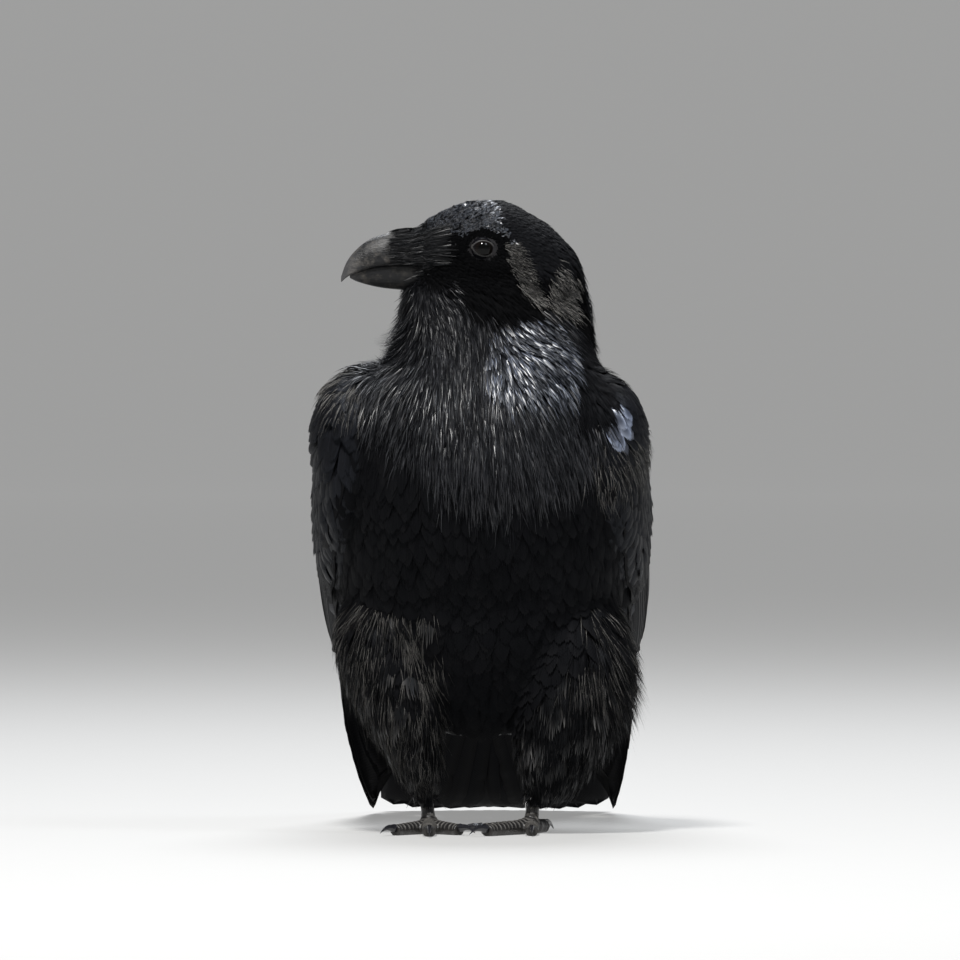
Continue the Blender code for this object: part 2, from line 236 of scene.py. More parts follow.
def addMark(thing, key, values):
    mark = thing.data.attributes.new(key, "FLOAT", "POINT")
    mark.data.foreach_set("value", np.asarray(values, np.float32).ravel())


def copyOf(names, name, grow=0.0):
    # joined copies of CAD nodes, with loose triangles merged
    copies = []
    for each in names:
        copy = nodes[each].copy()
        copy.data = nodes[each].data.copy()
        copy.parent = None
        copy.hide_render = copy.hide_viewport = False
        bpy.context.scene.collection.objects.link(copy)
        for key in list(copy.keys()):
            del copy[key]
        edit(copy, lambda: bpy.ops.mesh.remove_doubles(threshold=1e-6))
        setPoints(copy, pointsOf(copy) + normalsOf(copy) * grow)
        copies.append(copy)
    onlySelect(*copies)
    if len(copies) > 1:
        bpy.ops.object.join()
    copies[0].name = copies[0].data.name = name
    copies[0].data.materials.clear()
    return copies[0]


def remeshed(thing, voxel, rounds):
    change = thing.modifiers.new("remesh", "REMESH")
    change.mode, change.voxel_size, change.use_smooth_shade = "VOXEL", voxel * mm, True
    ease(thing, rounds)
    return thing


def finishPiece(thing, material, slotName, *replaced):
    thing.data.materials.clear()
    thing.data.materials.append(material)
    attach(thing, "root")
    if replaced:
        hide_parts(*replaced)
    return thing


def gridFaces(rows, columns, closed=False, flip=False):
    # quads over rows by columns of points
    faces = []
    for r in range(rows - 1):
        for c in range(columns if closed else columns - 1):
            a, b = r * columns + c, r * columns + (c + 1) % columns
            faces.append((a, b, b + columns, a + columns))
    return [face[::-1] for face in faces] if flip else faces


def meshOf(name, points, faces, maps, marks):
    # one mesh of many like pieces; points are pieces by corners, maps and marks hold a value for each
    count, corners = points.shape[:2]
    mesh = bpy.data.meshes.new(name)
    mesh.vertices.add(count * corners)
    mesh.vertices.foreach_set("co", points.astype(np.float32).ravel())
    flat = np.array([corner for face in faces for corner in face])
    totals = np.tile([len(face) for face in faces], count)
    loops = (np.arange(count)[:, None] * corners + flat).ravel()
    mesh.loops.add(len(loops))
    mesh.loops.foreach_set("vertex_index", loops.astype(np.int32))
    mesh.polygons.add(len(totals))
    mesh.polygons.foreach_set("loop_start", np.concatenate(([0], np.cumsum(totals)[:-1])).astype(np.int32))
    mesh.polygons.foreach_set("loop_total", totals.astype(np.int32))
    mesh.polygons.foreach_set("use_smooth", np.ones(len(totals), bool))
    mesh.update(calc_edges=True)
    for key, values in maps.items():
        layer = mesh.uv_layers.new(name=key)
        layer.data.foreach_set("uv", values.reshape(-1, 2)[loops].astype(np.float32).ravel())
    thing = bpy.data.objects.new(name, mesh)
    bpy.context.scene.collection.objects.link(thing)
    for key, values in marks.items():
        addMark(thing, key, np.broadcast_to(values, (count, corners)))
    report(f"{name}: {count} parts, {(totals - 2).sum()} triangles")
    return thing


def gridMesh(name, points, flip):
    # a closed strip of quads over rows by columns of points
    return meshOf(name, points.reshape(1, -1, 3), gridFaces(*points.shape[:2], True, flip), {}, {})


# how the coat lies: place, direction, then length, width, spacing and depth of the feathers there
headGuides = (
    ((38, 0, 15), (-1, 0, 0.5), 5, 1.9, 1.5, 1.4),
    ((28, 7, 18), (-1, 0.1, 0.4), 5.5, 2.1, 1.6, 1.5),
    ((10, 9, 26), (-1, 0.05, 0.1), 7, 2.8, 1.9, 2.0),
    ((-12, 8, 28), (-1, 0, -0.15), 9, 3.6, 2.3, 2.6),
    ((-35, 8, 18), (-0.8, 0, -0.6), 13, 4.4, 2.9, 3.6),
    ((-56, 8, 0), (-0.5, 0, -0.85), 18, 5.4, 3.6, 5.0),
    ((-68, 6, -26), (-0.2, 0, -1), 24, 6.4, 4.2, 7.0),
    ((30, 13, 2), (-1, 0.25, 0), 4.5, 1.6, 1.4, 1.2),
    ((14, 19, 3), (-1, 0.3, 0.15), 4.5, 1.6, 1.4, 1.0),
    ((4, 21, 14), (-1, 0.1, 0.2), 5, 2.0, 1.5, 1.3),
    ((-12, 25, 10), (-1, 0.1, -0.3), 6, 2.4, 1.8, 1.7),
    ((0, 24, -13), (-1, 0.1, -0.2), 6, 2.0, 1.7, 1.5),
    ((-20, 28, -2), (-1, 0.1, -0.4), 9, 3.0, 2.1, 2.3),
    ((-26, 30, -20), (-0.85, 0, -0.6), 14, 3.6, 2.6, 3.4),
    ((17, 19, -17), (-0.9, 0.15, -0.5), 8, 2.2, 1.9, 1.9),
    ((-46, 26, -18), (-0.65, 0, -0.75), 17, 4.6, 3.1, 4.4),
    ((38, 6, -22), (-0.3, 0, -0.95), 9, 2.0, 1.9, 2.2),
    ((30, 13, -27), (-0.3, 0.1, -0.95), 15, 2.6, 2.3, 4.2),
    ((46, 0, -42), (-0.05, 0, -1), 25, 3.6, 3.0, 8.0),
    ((2, 26, -36), (-0.45, 0.05, -0.9), 22, 4.0, 3.0, 7.0),
    ((-36, 28, -44), (-0.45, 0, -0.9), 25, 5.2, 3.5, 8.0),
)
bodyGuides = (
    ((4, 54, 315), (0, 0.2, -1), 29, 4.4, 3.2, 9),
    ((-47, 30, 312), (-0.12, 0.12, -1), 26, 4.0, 3.2, 8),
    ((64, 10, 318), (0.1, -0.05, -1), 28, 6.0, 3.8, 8),
    ((10, -20, 300), (0, -0.6, -0.8), 28, 9.0, 4.8, 8),
    ((2, 64, 282), (0, 0.3, -0.95), 32, 5.2, 3.5, 10),
    ((34, 50, 294), (0.65, -0.05, -0.76), 25, 4.4, 3.2, 9),
    ((46, 50, 272), (0.4, 0.1, -0.92), 30, 5.6, 3.6, 9),
    ((0, 82, 240), (0, 0.1, -1), 33, 6.6, 3.9, 11),
    ((56, 62, 232), (0.15, -0.1, -1), 32, 7.0, 4.1, 10),
    ((0, 80, 188), (0, -0.2, -1), 34, 9.0, 4.6, 11),
    ((60, 58, 182), (0.05, -0.2, -1), 34, 9.5, 4.8, 10),
    ((0, 58, 136), (0, -0.5, -0.85), 34, 11, 5.0, 11),
    ((0, 12, 96), (0, -0.75, -0.65), 34, 11, 5.4, 10),
    ((0, -50, 76), (0, -0.97, -0.2), 34, 11, 5.6, 9),
    ((0, -110, 84), (0, -1, -0.15), 42, 13, 6.5, 8),
    ((0, -152, 94), (0, -0.93, -0.37), 58, 14, 6.4, 5),
    ((86, 28, 212), (0.05, -0.3, -0.95), 30, 9, 4.8, 8),
    ((86, 2, 160), (0.03, -0.35, -0.95), 36, 11, 5.0, 8),
    ((82, -30, 122), (0.0, -0.5, -0.87), 38, 11, 5.2, 8),
    ((70, -80, 112), (0, -0.85, -0.5), 38, 12, 5.8, 8),
    ((86, -8, 96), (-0.05, -0.2, -1), 34, 10, 4.8, 7),
    ((54, 34, 104), (0, -0.1, -1), 30, 9, 4.6, 7),
    ((47, 24, 60), (-0.12, -0.02, -1), 24, 7, 3.9, 5.5),
    ((36, 8, 32), (-0.12, 0, -1), 15, 4.6, 3.0, 3.4),
    ((20, 0, 80), (0.02, -0.1, -1), 26, 8, 4.6, 6),
    ((50, -36, 80), (0, -0.15, -1), 28, 9, 4.8, 6),
    ((40, -18, 32), (-0.05, 0.1, -1), 15, 4.6, 3.2, 3.4),
    ((74, 26, 284), (0.5, -0.3, -0.8), 22, 9, 4.4, 5),
    ((42, -38, 272), (0.25, -0.62, -0.74), 36, 14, 5.8, 7),
    ((0, -55, 262), (0, -0.65, -0.76), 32, 13, 5.6, 8),
    ((0, -90, 222), (0, -0.62, -0.78), 36, 15, 6.2, 8),
    ((48, -86, 214), (0.12, -0.65, -0.75), 46, 17, 7.0, 6),
    ((0, -126, 178), (0, -0.62, -0.78), 38, 15, 6.6, 8),
    ((0, -158, 140), (0, -0.8, -0.6), 42, 15, 7.0, 6),
    ((0, -178, 112), (0, -0.87, -0.5), 48, 16, 7.4, 4),
    ((92, 20, 236), (0, -0.9, -0.45), 20, 10, 6.0, 4),
    ((95, -90, 160), (0, -0.82, -0.58), 30, 14, 8.0, 3.5),
    ((70, -110, 180), (0, -0.82, -0.58), 30, 14, 8.0, 3.5),
)
# mirrored places that the turned neck has no use for
oneSided = ((47, 30, 312), (-64, 10, 318), (-34, 50, 294))


def bothSides(rows, column, place, axes):
    # the guides in metres, each also on the other side where it isn't on the middle line
    mirror = np.where(np.arange(3) == column, -1, 1)
    found = []
    for row in rows:
        found.append(row)
        if row[0][column]:
            found.append((tuple(mirror * row[0]), tuple(mirror * row[1]), *row[2:]))
    found = [row for row in found if row[0] not in oneSided]
    ways = unit([row[1] for row in found]) @ axes
    sizes = np.array([row[2:] for row in found], float) * mm
    return place([row[0] for row in found]), np.hstack((ways, sizes))


class Guides:
    # sizes and directions between the given places, weighed by how near each is
    sharpness = 3.2
    core = 4e-6  # square metres, so that no guide rules alone at its own place

    def __init__(self):
        head = bothSides(headGuides, 1, headPlace, headAxes)
        body = bothSides(bodyGuides, 0, bodyPlace, bodyAxes)
        self.places = np.vstack((head[0], body[0]))
        self.values = np.vstack((head[1], body[1]))

    def at(self, points):
        found = []
        for start in range(0, len(points), 4000):
            gap = points[start:start + 4000, None] - self.places[None]
            weight = 1 / (np.einsum("pgi,pgi->pg", gap, gap) + self.core) ** (self.sharpness / 2)
            found.append(weight @ self.values / weight.sum(1, keepdims=True))
        return np.vstack(found)  # direction in 0:3, then length, width, spacing, depth


def nearness(points, middle, reach):
    return np.exp(-(np.linalg.norm(points - middle, axis=1) / (reach * mm)) ** 2)


guides = Guides()
sunken = (  # middle, reach and how much deeper the skin lies there
    (headPlace((24, 0, 25)), 15, 1.3),
    (bodyPlace((-56, 22, 292)), 17, 5),
    (bodyPlace((72, 14, 292)), 22, 4),
)
skinLook = {"voxel": 2.4, "grow": 0.35, "ease": 3, "underBill": 4.5, "groinHeight": 122, "groinEase": 14}
fleshNodes = ("trunk", "neck", "head", "thigh_left", "thigh_right", "wing_left", "wing_right")


def buildSkin():
    skin = copyOf((*fleshNodes, "eye_left", "eye_right"), "skin", skinLook["grow"] * mm)
    remeshed(skin, skinLook["voxel"], 2)
    points = pointsOf(skin)
    depth = guides.at(points)[:, 6]
    place = inHead(points)
    depth[(place[:, 0] > 33) & (place[:, 2] > -12)] = skinLook["underBill"] * mm
    for middle, reach, deeper in sunken:
        depth = depth + deeper * mm * nearness(points, middle, reach)
    place = inBody(points)
    groin = np.exp(-((place[:, 2] - skinLook["groinHeight"]) / 26) ** 2)
    groin = groin * (np.abs(place[:, 0]) > 12) * (place[:, 1] > -70)
    joins = skin.vertex_groups.new(name="groin")
    for index in np.flatnonzero(groin > 0.05).tolist():
        joins.add([index], float(groin[index]), "REPLACE")
    ease(skin, skinLook["groinEase"], joins.name)
    for share in (0.4, 0.35, 0.25):  # in steps, so that folds stay open
        setPoints(skin, pointsOf(skin) - normalsOf(skin) * depth[:, None] * share)
        ease(skin, skinLook["ease"])
    edit(skin, lambda: bpy.ops.uv.smart_project(angle_limit=math.radians(66), island_margin=0.004))
    skin.data.uv_layers[0].name = "OFBake"
    bpy.ops.object.shade_smooth()
    report(f"skin {len(skin.data.vertices)} points")
    return skin


class Surface:
    # one or several pieces as one surface to follow
    def __init__(self, *things):
        points, normals, corners, owners, start = [], [], [], [], 0
        for index, thing in enumerate(things):
            thing.data.calc_loop_triangles()
            corners.append(read(thing.data.loop_triangles, "vertices", np.int32, 3) + start)
            owners.append(np.full(len(corners[-1]), index))
            points.append(pointsOf(thing))
            normals.append(normalsOf(thing))
            start += len(points[-1])
        self.points, self.normals = np.vstack(points), np.vstack(normals)
        self.corners, self.owners = np.vstack(corners), np.concatenate(owners)
        self.tree = BVHTree.FromPolygons(self.points.tolist(), self.corners.tolist())

    def triangles(self, faces):
        return (self.points[self.corners[faces, k]] for k in range(3))

    def blend(self, spots, faces, values):
        # values at the corners of each face, weighed by where in it the spot lies
        a, b, c = self.triangles(faces)
        whole = np.cross(b - a, c - a)
        size = np.maximum(np.einsum("ij,ij->i", whole, whole), 1e-20)
        first = np.einsum("ij,ij->i", np.cross(c - b, spots - b), whole) / size
        second = np.einsum("ij,ij->i", np.cross(a - c, spots - c), whole) / size
        return np.einsum("nk,nki->ni", np.stack((first, second, 1 - first - second), 1), values)

    def normalAt(self, spots, faces):
        return unit(self.blend(spots, faces, self.normals[self.corners[faces]]))

    def nearest(self, points):
        found = [self.tree.find_nearest(p) for p in points.tolist()]
        spots = np.array([f[0] for f in found])
        faces = np.array([f[2] for f in found])
        return spots, self.normalAt(spots, faces), faces


skin = buildSkin()
ground = Surface(skin)
centres = ground.points[ground.corners].mean(1)
skinUvs = read(skin.data.uv_layers["OFBake"].data, "uv", np.float32, 2)[
    read(skin.data.loop_triangles, "loops", np.int32, 3)]
cover = Surface(*(nodes[name] for name in fleshNodes))
rump = Surface(skin, nodes["tail"])
report("ground ready")


def coveredBy(points, *names):
    # whether one of these CAD nodes lies over each place
    return np.isin(cover.owners[cover.nearest(points)[2]], [fleshNodes.index(name) for name in names])


def scatter(gap, keep, crowd=7.0):
    # random places on the skin, thinned until none is nearer to another than its own gap
    a, b, c = ground.triangles(slice(None))
    areas = np.linalg.norm(np.cross(b - a, c - a), axis=1) / 2
    count = rng.poisson(areas / gap ** 2 * crowd * keep)
    faces = np.repeat(np.arange(len(count)), count)
    share = rng.random((len(faces), 2))
    flip = share.sum(1) > 1
    share[flip] = 1 - share[flip]
    a, b, c = ground.triangles(faces)
    spots = a + (b - a) * share[:, :1] + (c - a) * share[:, 1:]
    order = rng.permutation(len(faces))
    spots, faces, gap = spots[order], faces[order], gap[faces[order]]
    keys = np.floor(spots / gap.max()).astype(int).tolist()
    around = [(i, j, k) for i in (-1, 0, 1) for j in (-1, 0, 1) for k in (-1, 0, 1)]
    grid, kept = {}, []
    for index, ((x, y, z), (px, py, pz), limit) in enumerate(zip(keys, spots.tolist(), (gap ** 2).tolist())):
        beside = (spot for i, j, k in around for spot in grid.get((x + i, y + j, z + k), ()))
        if not any((px - qx) ** 2 + (py - qy) ** 2 + (pz - qz) ** 2 < limit for qx, qy, qz in beside):
            grid.setdefault((x, y, z), []).append((px, py, pz))
            kept.append(index)
    report(f"{len(kept)} roots")
    return spots[kept], faces[kept]


def vaneShape(joined, strips, tipDrop, part, outline):
    # rows of points that are joined up to the last row, past which each strip ends in its own tip;
    # with a part, each strip narrows there before it ends, and they spread apart
    across = np.linspace(-1, 1, strips + 1)
    u = [x for _ in joined for x in across]
    t = [row - tipDrop * x ** 2 * row ** 3 for row in joined for x in across]
    faces, free = gridFaces(len(joined), strips + 1), len(u)
    for k in range(strips):
        root, start = free - strips - 1 + k, len(u)
        middle, wide = (across[k] + across[k + 1]) / 2, across[k + 1] - across[k]
        if part:
            u.extend((middle * 1.12 - wide * 0.3, middle * 1.12 + wide * 0.3, middle * 1.25))
            t.extend((part - tipDrop * middle ** 2 * part ** 3,) * 2)
            faces.extend(((root, root + 1, start + 1, start), (start, start + 1, start + 2)))
        else:
            u.append(middle)
            faces.append((root, root + 1, start))
        t.append(1 - tipDrop * middle ** 2)
    return {"u": np.array(u), "t": np.array(t), "faces": faces, "outline": outline, "free": free,
            "lock": 3 if part else 1}


# rows, strips, how much the tip's sides fall back, where the strips part, then width along the vane
shapes = {
    "contour": vaneShape((0, 0.3, 0.55, 0.78, 0.95), 8, 0.3, 0,
                         ((0, 0.4), (0.3, 0.85), (0.6, 1), (0.9, 0.9), (1, 0.75))),
    "covert": vaneShape((0, 0.3, 0.55, 0.76, 0.9), 7, 0.12, 0,
                        ((0, 0.4), (0.3, 0.85), (0.6, 1), (0.88, 0.84), (1, 0.5))),
    "hackle": vaneShape((0, 0.28, 0.5), 5, 0.3, 0.76,
                        ((0, 0.5), (0.3, 1), (0.5, 0.95), (0.75, 0.7), (1, 0.5))),
    "down": vaneShape((0, 0.4, 0.68), 7, 0.2, 0.86,
                      ((0, 0.4), (0.4, 0.95), (0.68, 1), (0.85, 0.9), (1, 0.75))),
    "lance": vaneShape((0, 0.3, 0.6, 0.85), 3, 0.35, 0, ((0, 0.5), (0.3, 1), (0.65, 0.85), (1, 0.15))),
    "small": vaneShape((0, 0.4, 0.7), 3, 0.25, 0, ((0, 0.5), (0.4, 1), (0.75, 0.85), (1, 0.5))),
    "strand": vaneShape((0, 0.35, 0.7), 1, 0, 0, ((0, 0.7), (0.35, 1), (0.7, 0.75), (1, 0))),
}


def among(rows, share):
    # values at a share of the way along each path
    steps = rows.shape[1] - 1
    at = np.clip(share, 0, 1) * steps
    low = np.minimum(at.astype(int), steps - 1)
    part = (at - low)[..., None]
    pick = np.arange(len(rows))[:, None]
    return rows[pick, low] * (1 - part) + rows[pick, low + 1] * part


def flattened(way, up):
    return way - up * np.einsum("ni,ni->n", way, up)[:, None]


def march(surface, spots, up, way, length, steps, follow):
    # paths that run along a surface and turn with the lie of the coat
    points, ups = [spots], [up]
    for _ in range(steps):
        ahead = spots + way * (length / steps)[:, None]
        spots, nextUp, _ = surface.nearest(ahead)
        past = (np.linalg.norm(spots - ahead, axis=1) > 0.42 * length / steps)[:, None]
        spots, up = np.where(past, ahead, spots), np.where(past, up, nextUp)
        if follow:
            way = way * (1 - follow) + unit(guides.at(spots)[:, :3]) * follow
        way = unit(flattened(way, up))
        points.append(spots)
        ups.append(up)
    return np.stack(points, 1), np.stack(ups, 1)


ruffled = (  # middle and reach of places where the ends stand out, and how far, as a share of their length
    (headPlace((44, 2, -27)), 12, 0.42),
    (headPlace((46, 2, -40)), 13, 0.4),
    (headPlace((46, 0, -52)), 13, 0.2),
    (headPlace((34, 12, -62)), 22, 0.05),
    (headPlace((34, -12, -62)), 22, 0.05),
    (bodyPlace((88, -2, 112)), 28, 0.36),
    (bodyPlace((84, -2, 80)), 34, 0.12),
    (bodyPlace((-88, -2, 95)), 40, 0.03),
    (bodyPlace((0, 20, 92)), 40, 0.08),
)
coatCount = []
patchSize = 0.0028  # of a feather on the skin's unwrap
leastGap = 0.4  # how far roots lie under the skin, and how far every feather stays over the floor


def blades(name, kind, path, ups, u, t, width, height, drift, roll, rootUv, drop=0):
    # one mesh of feathers of a kind along their paths, with a row of values for each
    shape = shapes[kind]
    normal = unit(among(ups, t))
    run = unit(among(np.gradient(path, axis=1), t))
    half = width[:, None] / 2 * np.interp(t, *zip(*shape["outline"]))
    points = among(path, t) + np.cross(run, normal) * (u * half + drift)[..., None]
    points += normal * (height + u * half * roll)[..., None]
    points[..., 2] = np.maximum(points[..., 2], leastGap * mm) + drop * mm * t ** 2
    patch = rootUv[:, None] + np.stack((u * patchSize / 2, (t - 0.5) * patchSize), -1)
    maps = {"OFBake": np.clip(patch, 0.0005, 0.9995), "vane": np.stack((u / 2 + 0.5, t), -1)}
    coatCount.append(len(path) * sum(len(face) - 2 for face in shape["faces"]))
    return meshOf(name, points, shape["faces"], maps, {"tint": rng.random(len(path))[:, None]})


def rootUvs(spots, faces):
    return ground.blend(spots, faces, skinUvs[faces])


def cornersOf(kind, count):
    return (np.tile(shapes[kind][key], (count, 1)) for key in ("u", "t"))


# for what a group's own look leaves out; sizes are shares of the guides' own, and angles degrees
featherLook = {
    "vary": 0.1, "depth": 1.0, "uneven": 0.06, "steps": 5, "follow": 0.4, "fray": 0.12, "rise": 2.2,
    "lift": 0.0, "camber": 0.14, "roll": 8, "curl": 0.03, "over": ground, "sizes": guides.at, "clear": None,
}


def layFeathers(name, roots, kind, finish, look):
    # feathers from their roots along the skin
    look = {**featherLook, **look}
    spots, faces = roots
    count = len(spots)
    up, rootUv = ground.normalAt(spots, faces), rootUvs(spots, faces)
    values = look["sizes"](spots)
    length = values[:, 3] * look["length"] * (1 + look["vary"] * rng.uniform(-1, 1, count))
    width = values[:, 4] * look["width"] * (1 + 0.15 * rng.uniform(-1, 1, count))
    depth = values[:, 6] * look["depth"] * (1 + look["uneven"] * rng.uniform(-1, 1, count))
    yaw = np.radians(look["yaw"]) * rng.normal(0, 1, count)[:, None]
    way = unit(flattened(values[:, :3], up))
    way = way * np.cos(yaw) + np.cross(up, way) * np.sin(yaw)
    path, ups = march(look["over"], spots, up, way, length, look["steps"], look["follow"])
    if look["clear"]:
        kept = look["clear"](path)
        path, ups, rootUv, length, width, depth, spots = (
            each[kept] for each in (path, ups, rootUv, length, width, depth, spots))
        count = len(spots)
    u, t = cornersOf(kind, count)
    free, lock = shapes[kind]["free"], shapes[kind]["lock"]
    locks = (count, (u.shape[1] - free) // lock)  # the corners of one lock keep together
    t[:, free:] -= look["fray"] * np.repeat(rng.random(locks), lock, axis=1)
    u[:, free:] += look["fray"] * np.repeat(rng.uniform(-0.8, 0.8, locks), lock, axis=1)
    height = depth[:, None] * (1 - (1 - t) ** look["rise"]) - leastGap * mm * (1 - t)
    standing = sum(lift * nearness(spots, middle, reach) for middle, reach, lift in ruffled)
    height += length[:, None] * t ** 3 * (standing + look["lift"] * rng.normal(0.4, 1, count))[:, None]
    height -= look["camber"] * width[:, None] * u ** 2
    roll = np.radians(look["roll"]) * rng.normal(0, 1, count)[:, None]
    curl = look["curl"] * rng.normal(0, 1, count)[:, None] * length[:, None] * t ** 2
    made = blades(name, kind, path, ups, u, t, width, height, curl, roll, rootUv)
    return finishPiece(made, plumage[finish], "plumage")


def layGroups(found, groups, **extra):
    # each group is its name, which of the found roots it takes, how many times, its kind, finish and look
    for name, kept, times, kind, finish, look in groups:
        if kept.any():
            roots = tuple(np.repeat(each[kept], times, axis=0) for each in found)
            layFeathers(name, roots, kind, finish, {**look, **extra})


def featherFinish(name, look):
    # dark vanes with a shaft line, barbs that slant from it, and a paler fringe: partly worn edge, partly
    # painted highlight on lit edges
    made = Finish(name)
    vane = made.node("UVMap", {"uv_map": "vane"})
    across, along = (made.node("SeparateXYZ", out=k, Vector=vane) for k in (0, 1))
    off = ((across - 0.5) * 2.0).size()
    tint = made.mark("tint")
    cloud = made.noise(0.02, 1.0, 3)
    barbs = ((along * look["barbs"] - off * look["slant"] + cloud * 0.4) * 6.2832).wave()
    fringe = ((off ** 3) * 0.75 + ((along - 0.72) * 3.2).clip() ** 2 + cloud * 0.5 - 0.3).clip()
    fringe = (fringe * ((tint - look["odd"]) * 4.0).clip() * look["fringeShare"]).clip()
    base = made.mix((tint * 0.8 + cloud * 0.4 - 0.1).clip(), look["dark"], look["light"])
    rough = (tint * look["roughSpread"] + look["rough"] + barbs * 0.03 + fringe * 0.08).clip()
    height = barbs * 0.5 + made.noise(0.0012, 1.0, 2) * 0.6 + (1.0 - off * look["shaft"]).clip() * 1.4
    if look["coat"]:
        wet = ((tint - look["coatOdd"]) * 3.0).clip() * look["coat"]
        made.set(Coat_Weight=wet, Coat_Roughness=look["coatRough"], Coat_IOR=1.6,
                 Coat_Tint=look["shineTint"])
    return made.set(Base_Color=made.mix(fringe, base, look["fringe"]), Roughness=rough,
                    Normal=made.bump(height, look["bump"], 0.8), IOR=look["ior"],
                    Specular_IOR_Level=look["shine"], Specular_Tint=look["shineTint"])


plumageBase = dict(
    dark=(0.0018, 0.0018, 0.0023), light=(0.0042, 0.0042, 0.0053), fringe=(0.012, 0.0118, 0.014),
    fringeShare=0.6, odd=-0.3, rough=0.4, roughSpread=0.12, barbs=16.0, slant=3.0, shaft=11.0, bump=0.09,
    shine=0.3, shineTint=(0.84, 0.9, 1.0), coat=0, coatOdd=0.5, coatRough=0.26, ior=1.4)
blueShine = (0.8, 0.87, 1.0)
finishes = {
    # crown: its pale speckled fringe is a painted highlight on the brow, over the feathers' real gloss
    "crown": dict(fringe=(0.21, 0.207, 0.21), fringeShare=0.95, odd=0.15, rough=0.26, roughSpread=0.25,
                  barbs=8.0, shine=0.6, coat=1.0, coatOdd=0.35, coatRough=0.24),
    # velvet: matte and a little darker, partly the face's own matte feathers and partly painted shade
    "velvet": dict(dark=(0.0014, 0.0014, 0.0016), light=(0.0028, 0.0028, 0.003),
                   fringe=(0.005, 0.005, 0.0054), rough=0.75, barbs=8.0, shine=0.03),
    "ruff": dict(dark=(0.004, 0.0038, 0.0036), light=(0.03, 0.029, 0.0275), fringe=(0.6, 0.58, 0.55),
                 fringeShare=1.0, odd=0.25, rough=0.5, barbs=8.0, shine=0.2),
    # tuft: its pale fringe is a painted highlight on the lit thigh tufts
    "tuft": dict(dark=(0.004, 0.0038, 0.0036), light=(0.03, 0.0285, 0.027), fringe=(0.4, 0.385, 0.36),
                 fringeShare=1.0, odd=0.1, rough=0.5, shine=0.15),
    "hackle": dict(fringe=(0.12, 0.115, 0.12), fringeShare=0.85, odd=0.4, rough=0.45, barbs=22.0, bump=0.06,
                   shine=0.2, coat=0.75, coatOdd=0.4, coatRough=0.38),
    "throat": dict(fringe=(0.06, 0.058, 0.06), fringeShare=0.85, odd=0.45, rough=0.45, barbs=22.0, bump=0.06,
                   shine=0.14, coat=0.5, coatOdd=0.5, coatRough=0.4),
    # painted sheen: pale blue colours that are a painted highlight on the wrist coverts
    "painted_sheen": dict(dark=(0.02, 0.022, 0.03), light=(0.05, 0.056, 0.075), fringe=(0.42, 0.45, 0.54),
                  fringeShare=0.9, odd=0.2, rough=0.3, bump=0.03, shine=0.8, coat=1.0, coatOdd=0.2),
    "mantle": dict(light=(0.004, 0.0042, 0.006), fringe=(0.013, 0.014, 0.021), rough=0.36, barbs=20.0,
                   bump=0.06, shine=0.27, shineTint=blueShine),
    # gloss: its pale blue-white fringe is a painted highlight on the side of the neck, over a real glossy
    # coat
    "gloss": dict(fringe=(0.3, 0.32, 0.38), fringeShare=0.9, odd=0.4, rough=0.4, barbs=22.0, bump=0.03,
                  shine=0.3, shineTint=blueShine, coat=0.9, coatOdd=0.4, coatRough=0.36),
    "contour": dict(dark=(0.0016, 0.0016, 0.002), light=(0.0034, 0.0034, 0.004),
                    fringe=(0.008, 0.0078, 0.0082), odd=0.3, rough=0.6, barbs=18.0, bump=0.06, shine=0.09),
    "thigh": dict(dark=(0.0016, 0.0016, 0.0019), light=(0.0034, 0.0034, 0.0038), fringe=(0.15, 0.14, 0.13),
                  fringeShare=0.9, odd=0.72, rough=0.5, shine=0.1, coat=0.7, coatOdd=0.72, coatRough=0.34),
    "covert": dict(fringe=(0.010, 0.011, 0.015), rough=0.42, barbs=26.0, shine=0.26, shineTint=blueShine,
                   ior=1.35),
    "quill": dict(dark=(0.002, 0.002, 0.0027), light=(0.0034, 0.0037, 0.005), fringe=(0.009, 0.0085, 0.0085),
                  rough=0.42, barbs=90.0, slant=7.0, shaft=26.0, bump=0.05, shine=0.13, ior=1.22),
    "bristle": dict(dark=(0.003, 0.003, 0.0034), light=(0.01, 0.0098, 0.01), fringe=(0.07, 0.067, 0.064),
                    fringeShare=0.8, odd=0.45, rough=0.42, barbs=3.0, shine=0.25, coat=0.3, coatRough=0.4),
}
plumage = {key: featherFinish(f"feathers_{key}", {**plumageBase, **own}) for key, own in finishes.items()}


def skinFinish():
    made = Finish("dark_skin")
    folds = made.noise(0.01, 3.0, 5)
    return made.set(Base_Color=made.mix(folds, (0.005, 0.005, 0.006), (0.012, 0.011, 0.012)), Roughness=0.7,
                    Normal=made.bump(folds, 0.4, 0.5), Specular_IOR_Level=0.15)


finishPiece(skin, skinFinish(), "plumage", *fleshNodes)
coatLook = {"headSpacing": 0.72, "bodySpacing": 1.0, "wingSpacing": 0.95, "bibFiner": 0.4}
eyeGap = {"long": 7.3, "tall": 5.7}


def bibEdge(place):
    # height of the hackles' lower edge: a bib that hangs lowest at the middle of the breast
    return 211 + 50 * np.clip(np.abs(place[:, 0] - 14) / 70, 0, 1) ** 1.6 + 3 * np.sin(place[:, 0] * 0.35)


def offEye(points):
    # how far from the middle of the nearer eye, where 1 is the rim of the lids
    place = inHead(points)
    gap = np.hypot(place[..., 0] / eyeGap["long"], place[..., 2] / eyeGap["tall"])
    return np.where(np.abs(place[..., 1]) > 8, gap, 9.0)


